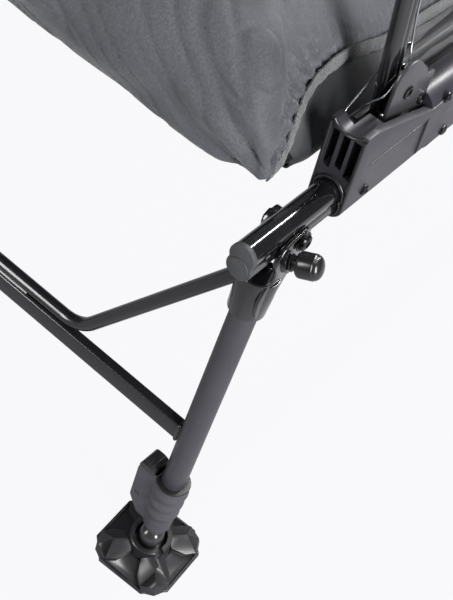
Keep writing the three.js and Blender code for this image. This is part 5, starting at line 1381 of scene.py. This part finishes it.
def woven(name, dark, light, pitch, depth, roughness, sheen):
    """Woven cloth: crossing yarns in the marked directions, uneven dye and a few slubs."""
    paint = Paint(name, Sheen_Weight=sheen, Sheen_Roughness=0.4, Specular_IOR_Level=0.35)
    cloth = paint.node("ShaderNodeAttribute", {"attribute_name": "cloth"}, output="Vector")
    parts = paint.nodes.new("ShaderNodeSeparateXYZ")
    paint.links.new(cloth.socket, parts.inputs[0])
    across, along = Value(paint, parts.outputs[0]), Value(paint, parts.outputs[1])
    turns = 2 * math.pi / pitch
    warp, weft = (across * turns).math("SINE", across * turns), (along * turns).math("SINE", along * turns)
    crossing = warp * weft
    yarn = paint.node("ShaderNodeMapping", {}, {"Vector": cloth, "Scale": (1, 0.12, 1)})
    slub = paint.node("ShaderNodeTexNoise", {}, {"Vector": yarn, "Scale": 1 / pitch, "Detail": 3})
    dye = paint.noise(14, 4)
    fleck = paint.noise(620, 3)
    tone = crossing * 0.12 + slub * 0.4 + fleck * 1.1 + dye * 0.35 - 0.58
    colour = paint.mix(paint.step(tone, 0.15, 0.85), (*dark, 1), (*light, 1))
    return paint.feed(Base_Color=colour, Roughness=slub * 0.14 + roughness,
                      Normal=paint.bump(crossing + slub * 0.7, depth))


def thick_cloth(rows, place, thickness, offset=0):
    cloth = skin(rows)
    cloth_marks(cloth, place)
    modified(cloth, "SOLIDIFY", thickness=thickness, offset=offset)
    return smooth(cloth)


def edge_at(setback_at):
    """The cushion's taped edge, at a distance back."""
    for (x0, y0, z0), (x1, y1, z1) in zip(EDGE_ROUTE, EDGE_ROUTE[1:]):
        if setback_at <= y1:
            share = max(0, (setback_at - y0) / (y1 - y0))
            return Vector((x0 + (x1 - x0) * share, max(setback_at, y0), z0 + (z1 - z0) * share))
    return Vector(EDGE_ROUTE[-1])


def evenly(path, step):
    """Points along a path, all one step apart."""
    points, left = [path[0]], step
    for start, end in zip(path, path[1:]):
        length = (end - start).length
        while length > left:
            start = start.lerp(end, left / length)
            points.append(start)
            length, left = (end - start).length, step
        left -= length
    return points


def between(value, low, high):
    """Rises smoothly from 0 to 1, as a value goes from low to high."""
    share = max(0, min(1, (value - low) / (high - low)))
    return share * share * (3 - 2 * share)


def side_gusset():
    rows = []
    for i in range(GUSSET_STATIONS + 1):
        y = GUSSET_START + (SLING_REAR - GUSSET_START) * i / GUSSET_STATIONS
        full = between(y, GUSSET_START, GUSSET_FULL)
        centre_x = GUSSET_TIP[0] + (SEAT_TUBE_SPAN - GUSSET_TIP[0]) * full
        centre_z = GUSSET_TIP[1] + (SEAT_TUBE_HEIGHT - GUSSET_TIP[1]) * full
        radius = GUSSET_TIP_RADIUS + (GUSSET_RADIUS - GUSSET_TIP_RADIUS) * full
        edge = edge_at(y) - GUSSET_INSET
        section = [edge, edge + Vector((4 * full + 1, 0, -GUSSET_DROP))]
        for angle in GUSSET_ANGLES:
            turn = math.radians(angle)
            reach = radius + RIPPLE * math.sin(y / 7 + angle / 30) * math.sin(y / 31) * full
            section.append(Vector((centre_x + reach * math.cos(turn), y, centre_z + reach * math.sin(turn))))
        rows.append(flowing(section, 4))

    def round_tube(p):
        turn = math.degrees(math.atan2(p.z - SEAT_TUBE_HEIGHT, p.x - SEAT_TUBE_SPAN))
        return p.y, turn / 4, 0
    return thick_cloth(rows, round_tube, SLING_THICKNESS, -1)


def sling_panel():
    rows = []
    stations, columns = SLING_GRID
    for i in range(stations + 1):
        y = SEAT_TUBE_FRONT + (SLING_REAR - SEAT_TUBE_FRONT) * i / stations
        row = []
        for j in range(columns + 1):
            u = 2 * j / columns - 1
            sag = SLING_SAG * (1 - u ** 4) * math.sin(math.pi * i / stations)
            ripple = RIPPLE * math.sin(u * 46) * u ** 6
            row.append((u * SEAT_TUBE_SPAN, y, SLING_HEIGHT - sag + ripple))
        rows.append(row)
    return thick_cloth(rows, lambda p: (p.x, p.y, 0), SLING_THICKNESS)


def front_hem():
    hem = swept(seat_path(SLING_REAR), HEM_RADIUS)
    cloth_marks(hem, lambda p: (p.x + p.y, p.z, 0))
    return hem


satin = woven("satin", (0.015, 0.016, 0.018), (0.034, 0.035, 0.039), 0.0009, 0.00005, 0.34, 0.1)
panel = in_middle(sling_panel(), "sling_panel", "base", satin, ["seat_sling"])
in_middle(front_hem(), "sling_hem", "base", satin, ["seat_sling"])
for gusset in on_sides(side_gusset(), "side_gusset", "base", satin, ["seat_sling"], 0):
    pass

# Seat mattress
# A hollow-fibre cushion in woven grey polyester, whose front rolls over the tube. Its sides are
# drawn in to a taped edge, which gathers the roll into a pocket at each front corner.
ROLL_CENTRE = (62, 479)
ROLL_RADIUS = 41
ROLL_ARC = (220, 90)
ROLL_STEPS = 30
HEM_COVER = [
    (75, 442), (71, 449), (65, 453), (58, 453.5), (51, 451), (47, 446), (45.2, 440), (45, 434), (42.5, 431),
    (38, 434.5), (33, 442),
]
HEM_HOLD = (15, 34)
EDGE_HOLD = (6, 46)
SEAT_REAR = 404
SEAT_BASE = 438.5
SEAT_REAR_TOP = 466
SEAT_CROWN = 9
SEAT_BASE_FRONT = 83
BASE_STEPS, TOP_STEPS = 22, 26
CUSHION_STATIONS = 72
SIDE_POWER = 12
SIDE_LEFT = 0.08
TOP_ABOVE = -18
SEAT_VOXEL = 0.0052
PRESSURE = 4
SWELL = 0.010
SIM_FRAMES = 20
SIM_QUALITY = 4
CROSS_SEAM = 122
CROSS_SEAM_BEND = 38
CROSS_SEAM_RUN = (190, 250)
SEAM_HALF_WIDTH = 4
SEAM_DEPTH = 3
SEAM_ABOVE = 10
FOLD_COUNT = 13
FOLD_DEPTH = 3
FOLD_REACH = (14, 46, 130)
CREASE_DEPTH = 2.6
RIM_HOLD = (5, 18)
GATHER_PITCH = 10
GATHER_DEPTH = 6.5
GATHER_REACH = (19, 11)
GATHER_RUN = (75, 130)
GATHER_FADE = 0.7
TAPE_WIDTH = 15.5
TAPE_LEAD = 0.2
TAPE_STEPS = 14
TAPE_SKIP = 5
TAPE_TUCK = (6, 26)
TAPE_LEAN = Vector((0.4, -0.2, 0))
TAPE_COLUMNS = 8
TAPE_BELLY = 1.6
TAPE_THICKNESS = 1.4
TAPE_PROUD = 0.9
EDGE_STEP = 2.5
EDGE_PATH = evenly(flowing(EDGE_ROUTE, 6), EDGE_STEP)


def seat_outline():
    """The cushion's section along the chair, from its rear bottom round the roll to its rear top."""
    y, z = ROLL_CENTRE
    run = SEAT_BASE_FRONT - SEAT_REAR
    bottom = [(SEAT_REAR + run * i / BASE_STEPS, SEAT_BASE) for i in range(BASE_STEPS + 1)]
    front = HEM_COVER + arc(ROLL_CENTRE, ROLL_RADIUS, *ROLL_ARC, ROLL_STEPS)
    top = []
    for i in range(1, TOP_STEPS + 1):
        share = i / TOP_STEPS
        height = z + ROLL_RADIUS + (SEAT_REAR_TOP - z - ROLL_RADIUS) * share
        top.append((y + (SEAT_REAR - y) * share, height + SEAT_CROWN * math.sin(math.pi * share)))
    return bottom + front + top


def cushion_shell(outline, edge_of):
    """A closed shell whose section narrows at both sides, towards the edge that a point belongs to."""
    rows = []
    for i in range(CUSHION_STATIONS + 1):
        u = math.sin(math.pi * (i / CUSHION_STATIONS - 0.5))
        full = SIDE_LEFT + (1 - SIDE_LEFT) * math.sqrt(1 - abs(u) ** SIDE_POWER)
        row = []
        for y, z in looped(outline):
            edge = edge_of(y, z)
            row.append((u * edge.x, edge.y + (y - edge.y) * full, edge.z + (z - edge.z) * full))
        rows.append(row)
    piece = skin(rows)
    edit(piece)
    bpy.ops.mesh.remove_doubles(threshold=0.2)
    bpy.ops.mesh.select_all(action="DESELECT")
    bpy.ops.mesh.select_mode(type="EDGE")
    bpy.ops.mesh.select_non_manifold()
    bpy.ops.mesh.fill_holes(sides=0)
    bpy.ops.mesh.select_mode(type="VERT")
    bpy.ops.object.mode_set(mode="OBJECT")
    return face_outward(piece)


def plumped(piece, voxel, free, swell=SWELL):
    """Turns a closed shell to cloth, swells it with a little pressure and caps how far it moves.

    How freely a point moves is from 0, where it is sewn or rests on something, to 1."""
    piece.data.transform(Matrix.Scale(MILLIMETRE, 4))
    modified(piece, "REMESH", mode="VOXEL", voxel_size=voxel)
    before = [vertex.co.copy() for vertex in piece.data.vertices]
    cloth = chosen(piece).modifiers.new("cloth", "CLOTH")
    cloth.settings.use_pressure = True
    cloth.settings.uniform_pressure_force = PRESSURE
    cloth.settings.effector_weights.gravity = 0
    cloth.settings.quality = SIM_QUALITY
    cloth.point_cache.frame_end = SIM_FRAMES
    for number in range(1, SIM_FRAMES + 1):
        bpy.context.scene.frame_set(number)
    bpy.ops.object.modifier_apply(modifier=cloth.name)
    bpy.context.scene.frame_set(1)
    for vertex, start in zip(piece.data.vertices, before):
        move = vertex.co - start
        held = free(start / MILLIMETRE) * min(1, swell / max(move.length, MILLIMETRE / 100))
        vertex.co = start + move * held
    modified(piece, "SUBSURF", levels=1)
    piece.data.transform(Matrix.Scale(1 / MILLIMETRE, 4))
    return piece


def pressed(piece, depth_at):
    """Moves each point along its normal by a depth in millimetres."""
    moves = [vertex.normal * depth_at(vertex.co) for vertex in piece.data.vertices]
    for vertex, move in zip(piece.data.vertices, moves):
        vertex.co += move
    return smooth(piece)


def round_roll(y, z):
    """How far a point lies along the section's outline, from the top of the roll."""
    back, rise = y - ROLL_CENTRE[0], z - ROLL_CENTRE[1]
    if back > 0:
        return -back if rise > TOP_ABOVE else ROLL_RADIUS * math.pi + back
    return ROLL_RADIUS * (math.pi / 2 - math.atan2(rise, -back))


def gather(p):
    """Short pleats that run in from the taped edge, deepest round the front corner."""
    if p.x < EDGE_ROUTE[-1][0] - 2 * GATHER_RUN[0] / 3:
        return 0
    away, number = min(((p - point).length, number) for number, point in enumerate(EDGE_PATH))
    run = number * EDGE_STEP
    wave = 0.5 + 0.5 * math.sin(2 * math.pi * run / GATHER_PITCH + 2.2 * math.sin(run / 17))
    full = 1 - GATHER_FADE * between(run, *GATHER_RUN)
    centre, spread = GATHER_REACH
    return -GATHER_DEPTH * wave * full * math.exp(-((away - centre) / spread) ** 2)


def corner_folds(p):
    """Soft folds that fan out over the roll from each front corner."""
    if p.y >= 2 * CROSS_SEAM:
        return 0
    inward, round_tip = EDGE_ROUTE[0][0] - abs(p.x), max(0, math.pi * ROLL_RADIUS - round_roll(p.y, p.z))
    reach = math.hypot(inward, round_tip)
    turn = math.atan2(round_tip, max(inward, 0.1))
    low, high, far = FOLD_REACH
    fade = between(reach, low, high) * (1 - between(reach, high, far))
    return FOLD_DEPTH * fade * math.sin(FOLD_COUNT * turn + reach / 22)


def cross_seam(p):
    if p.z <= ROLL_CENTRE[1] + SEAM_ABOVE:
        return 0
    back = CROSS_SEAM - CROSS_SEAM_BEND * between(abs(p.x), *CROSS_SEAM_RUN)
    return -SEAM_DEPTH * math.exp(-((p.y - back) / SEAM_HALF_WIDTH) ** 2)


def off_edge(p):
    return (Vector((abs(p.x), p.y, p.z)) - edge_at(p.y)).length


def seat_relief(p):
    cloud = noise.noise(Vector((p.x / 60 + p.y / 90, p.z / 45 - p.y / 60, abs(p.x) / 200)))
    crease = noise.noise(Vector(((p.x + p.z * 1.4) / 24, (p.y - p.z) / 90, 3.1)))
    creases = CREASE_DEPTH * (cloud * 1.4 + min(0, abs(crease) - 0.12) * 6)
    loose = between(off_edge(p), *RIM_HOLD)
    return (corner_folds(p) + creases) * loose + cross_seam(p) + gather(Vector((abs(p.x), p.y, p.z)))


def seat_free(p):
    """The cushion is held by the tape round its edge and rests on the tube's hem."""
    off_hem = math.hypot(p.y - SEAT_TUBE_FRONT, p.z - SEAT_TUBE_HEIGHT)
    return between(off_hem, *HEM_HOLD) * between(off_edge(p), *EDGE_HOLD)


def seat_mattress():
    shell = cushion_shell(seat_outline(), lambda y, z: edge_at(y))
    cushion = pressed(plumped(shell, SEAT_VOXEL, seat_free), seat_relief)
    cloth_marks(cushion, lambda p: (p.x, round_roll(p.y, p.z), 0))
    return cushion


def edge_tape():
    """A ribbed tape folded over the edge, which winds a little where the cloth is gathered."""
    rows = []
    path = flowing(EDGE_ROUTE, TAPE_STEPS)[TAPE_SKIP:]
    depth, run = TAPE_TUCK
    for number, (here, ahead) in enumerate(zip(path, path[1:])):
        way = (ahead - here).normalized()
        out = (way.cross(WAYS["Z"]) + TAPE_LEAN).normalized()
        up = out.cross(way).normalized()
        wind = math.sin(number / 1.4) * 0.8 + math.sin(number / 7.7) * 0.9 + math.sin(number * 1.9) * 0.35
        tuck = depth * (1 - between(number, 0, run))
        row = []
        for step in range(TAPE_COLUMNS + 1):
            share = step / TAPE_COLUMNS - 0.5
            belly = TAPE_BELLY * math.cos(math.pi * share)
            row.append(here + up * ((share + TAPE_LEAD) * TAPE_WIDTH + wind * 0.4)
                       + out * (belly + TAPE_PROUD + wind * 0.5 - tuck))
        rows.append(row)
    return thick_cloth(rows, lambda p: (p.y + p.x, p.z, 0), TAPE_THICKNESS)


grey_weave = woven("grey_weave", (0.056, 0.059, 0.068), (0.110, 0.115, 0.128), 0.0011, 0.00006, 0.55, 0.25)
tape_weave = woven("tape_weave", (0.085, 0.088, 0.094), (0.240, 0.242, 0.245), 0.0024, 0.0005, 0.65, 0.2)
mattress = in_middle(seat_mattress(), "seat_cushion", "base", grey_weave, ["seat_mattress"])
on_sides(edge_tape(), "edge_tape", "base", tape_weave, ["seat_mattress"], 0)

# Back frame
# One bent steel tube that leans back on the hinges' bolts. A flat lug welded inside each side
# carries the armrest's pin.
BACK_LEAN = math.radians(15)
BACK_SPAN = 235.5
BACK_TAIL = -18
BACK_TOP = 620
BACK_BEND = 60
BACK_TUBE_RADIUS = 12.5
LUG_ROOT = (470.6, 616.8, 11)
LUG_EYE = (437.7, 619.6, 9)
LUG_START, LUG_END = -56, -50
LUG_EDGE = 0.8
LUG_PIN = [(3.8, -55), (3.8, -13.6), (7, -13.6), (7, -12.2), (5.6, -10.8)]
BACK_PLACE = Matrix.Translation((0, *BACK_PIVOT)) @ Matrix.Rotation(-BACK_LEAN, 4, "X")


def leaned(piece):
    piece.data.transform(BACK_PLACE)
    return piece


def back_path():
    corners = [(-1, BACK_TAIL), (-1, BACK_TOP), (1, BACK_TOP), (1, BACK_TAIL)]
    return bent([(side * BACK_SPAN, 0, z) for side, z in corners], BACK_BEND)


def back_lug():
    pin = moved(smooth(turned(LUG_PIN)), (0, *LUG_EYE[:2]), WAYS["X"])
    return joined(softened(linked([LUG_ROOT, LUG_EYE], LUG_START, LUG_END), LUG_EDGE), pin)


back_tube = leaned(swept(back_path(), BACK_TUBE_RADIUS))
in_middle(back_tube, "back_tube", "backrest", bar_paint, ["back_frame"])
on_sides(back_lug(), "back_lug", "backrest", bar_paint, ["back_frame"])

# Back sling
# Black satin polyester, sewn into a hem round each side of the back tube and stretched between.
BACK_HEM_RADIUS = 14.4
BACK_SLING_LOW = 130
BACK_SLING_HIGH = 560
BACK_SLING_FACE = -12.5
BACK_SLING_SAG = 8
HEM_FOLD = 28
HEM_FOLD_RISE = 0.8
BACK_GRID = (60, 80)


def back_panel():
    rows = []
    stations, columns = BACK_GRID
    for i in range(stations + 1):
        z = BACK_SLING_LOW + (BACK_SLING_HIGH - BACK_SLING_LOW) * i / stations
        row = []
        for j in range(columns + 1):
            u = 2 * j / columns - 1
            fold = HEM_FOLD_RISE if abs(u) * BACK_SPAN > BACK_SPAN - HEM_FOLD else 0
            ripple = RIPPLE * math.sin(z / 6) * u ** 8
            row.append((u * BACK_SPAN, BACK_SLING_FACE + BACK_SLING_SAG * (1 - u ** 4) + fold + ripple, z))
        rows.append(row)
    return leaned(thick_cloth(rows, lambda p: (p.x, p.z, 0), SLING_THICKNESS))


def back_hem(across):
    hem = swept([(across * BACK_SPAN, 0, z) for z in (BACK_SLING_LOW, BACK_SLING_HIGH)], BACK_HEM_RADIUS)
    cloth_marks(hem, lambda p: (p.x + p.y, p.z, 0))
    return leaned(hem)


back_cloth = in_middle(back_panel(), "back_panel", "backrest", satin, ["back_sling"])
for side, across in SIDES.items():
    in_middle(back_hem(across), f"back_hem_{side}", "backrest", satin, ["back_sling"])

# Back mattress
# A flat hollow-fibre cushion of the same grey cloth, sewn through in channels and piped round.
BACK_CUSHION_HALF = 225
BACK_CUSHION_LOW = -20
BACK_CUSHION_HIGH = 600
BACK_CUSHION_FRONT = -48
BACK_CUSHION_REAR = -15.5
BACK_CUSHION_MIDDLE = (BACK_CUSHION_FRONT + BACK_CUSHION_REAR) / 2
BACK_CUSHION_ROUND = 15
BACK_VOXEL = 0.006
CHANNELS = [84, 188, 292, 396, 500]
CHANNEL_DEPTH = 7
CHANNEL_HALF_WIDTH = 9
CHANNEL_FADE = (4.8, 16.8)
PUCKER_DEPTH = 1.3
PIPING_RADIUS = 3
PIPING_CORNER = 34


def back_relief(p):
    nearest = min(CHANNELS, key=lambda height: abs(p.z - height))
    away = (p.z - nearest) / CHANNEL_HALF_WIDTH
    in_front = between(BACK_CUSHION_REAR - p.y, *CHANNEL_FADE)
    groove = -CHANNEL_DEPTH * math.exp(-abs(away) ** 1.4) * in_front
    pucker = PUCKER_DEPTH * math.sin(p.x / 5 + 2 * noise.noise(Vector((p.x / 40, nearest, 0))))
    cloud = noise.noise(Vector((p.x / 80, p.z / 60, 7.7)))
    return groove + pucker * math.exp(-(away / 1.8) ** 2) * in_front + cloud * CREASE_DEPTH


def back_free(p):
    """The cushion is held by the piping round its edge."""
    from_side = BACK_CUSHION_HALF - abs(p.x)
    from_end = min(p.z - BACK_CUSHION_LOW, BACK_CUSHION_HIGH - p.z)
    return between(min(from_side, from_end), 0, EDGE_HOLD[1])


def back_cushion():
    outline = rounded([
        (BACK_CUSHION_REAR, BACK_CUSHION_LOW),
        (BACK_CUSHION_FRONT, BACK_CUSHION_LOW),
        (BACK_CUSHION_FRONT, BACK_CUSHION_HIGH),
        (BACK_CUSHION_REAR, BACK_CUSHION_HIGH),
    ], BACK_CUSHION_ROUND, 8)
    shell = cushion_shell(outline, lambda y, z: Vector((BACK_CUSHION_HALF, BACK_CUSHION_MIDDLE, z)))
    cushion = pressed(plumped(shell, BACK_VOXEL, back_free), back_relief)
    cloth_marks(cushion, lambda p: (p.x, p.z, 0))
    return leaned(cushion)


def back_piping():
    half = BACK_CUSHION_HALF - PIPING_RADIUS / 2
    low, high = BACK_CUSHION_LOW, BACK_CUSHION_HIGH
    corners = [(0, low), (half, low), (half, high), (-half, high), (-half, low), (0, low)]
    piping = swept(bent([(x, BACK_CUSHION_MIDDLE, z) for x, z in corners], PIPING_CORNER), PIPING_RADIUS)
    cloth_marks(piping, lambda p: (p.x + p.y, p.z, 0))
    return leaned(piping)


cushion = in_middle(back_cushion(), "back_cushion", "backrest", grey_weave, ["back_mattress"])
in_middle(back_piping(), "back_piping", "backrest", tape_weave, ["back_mattress"])
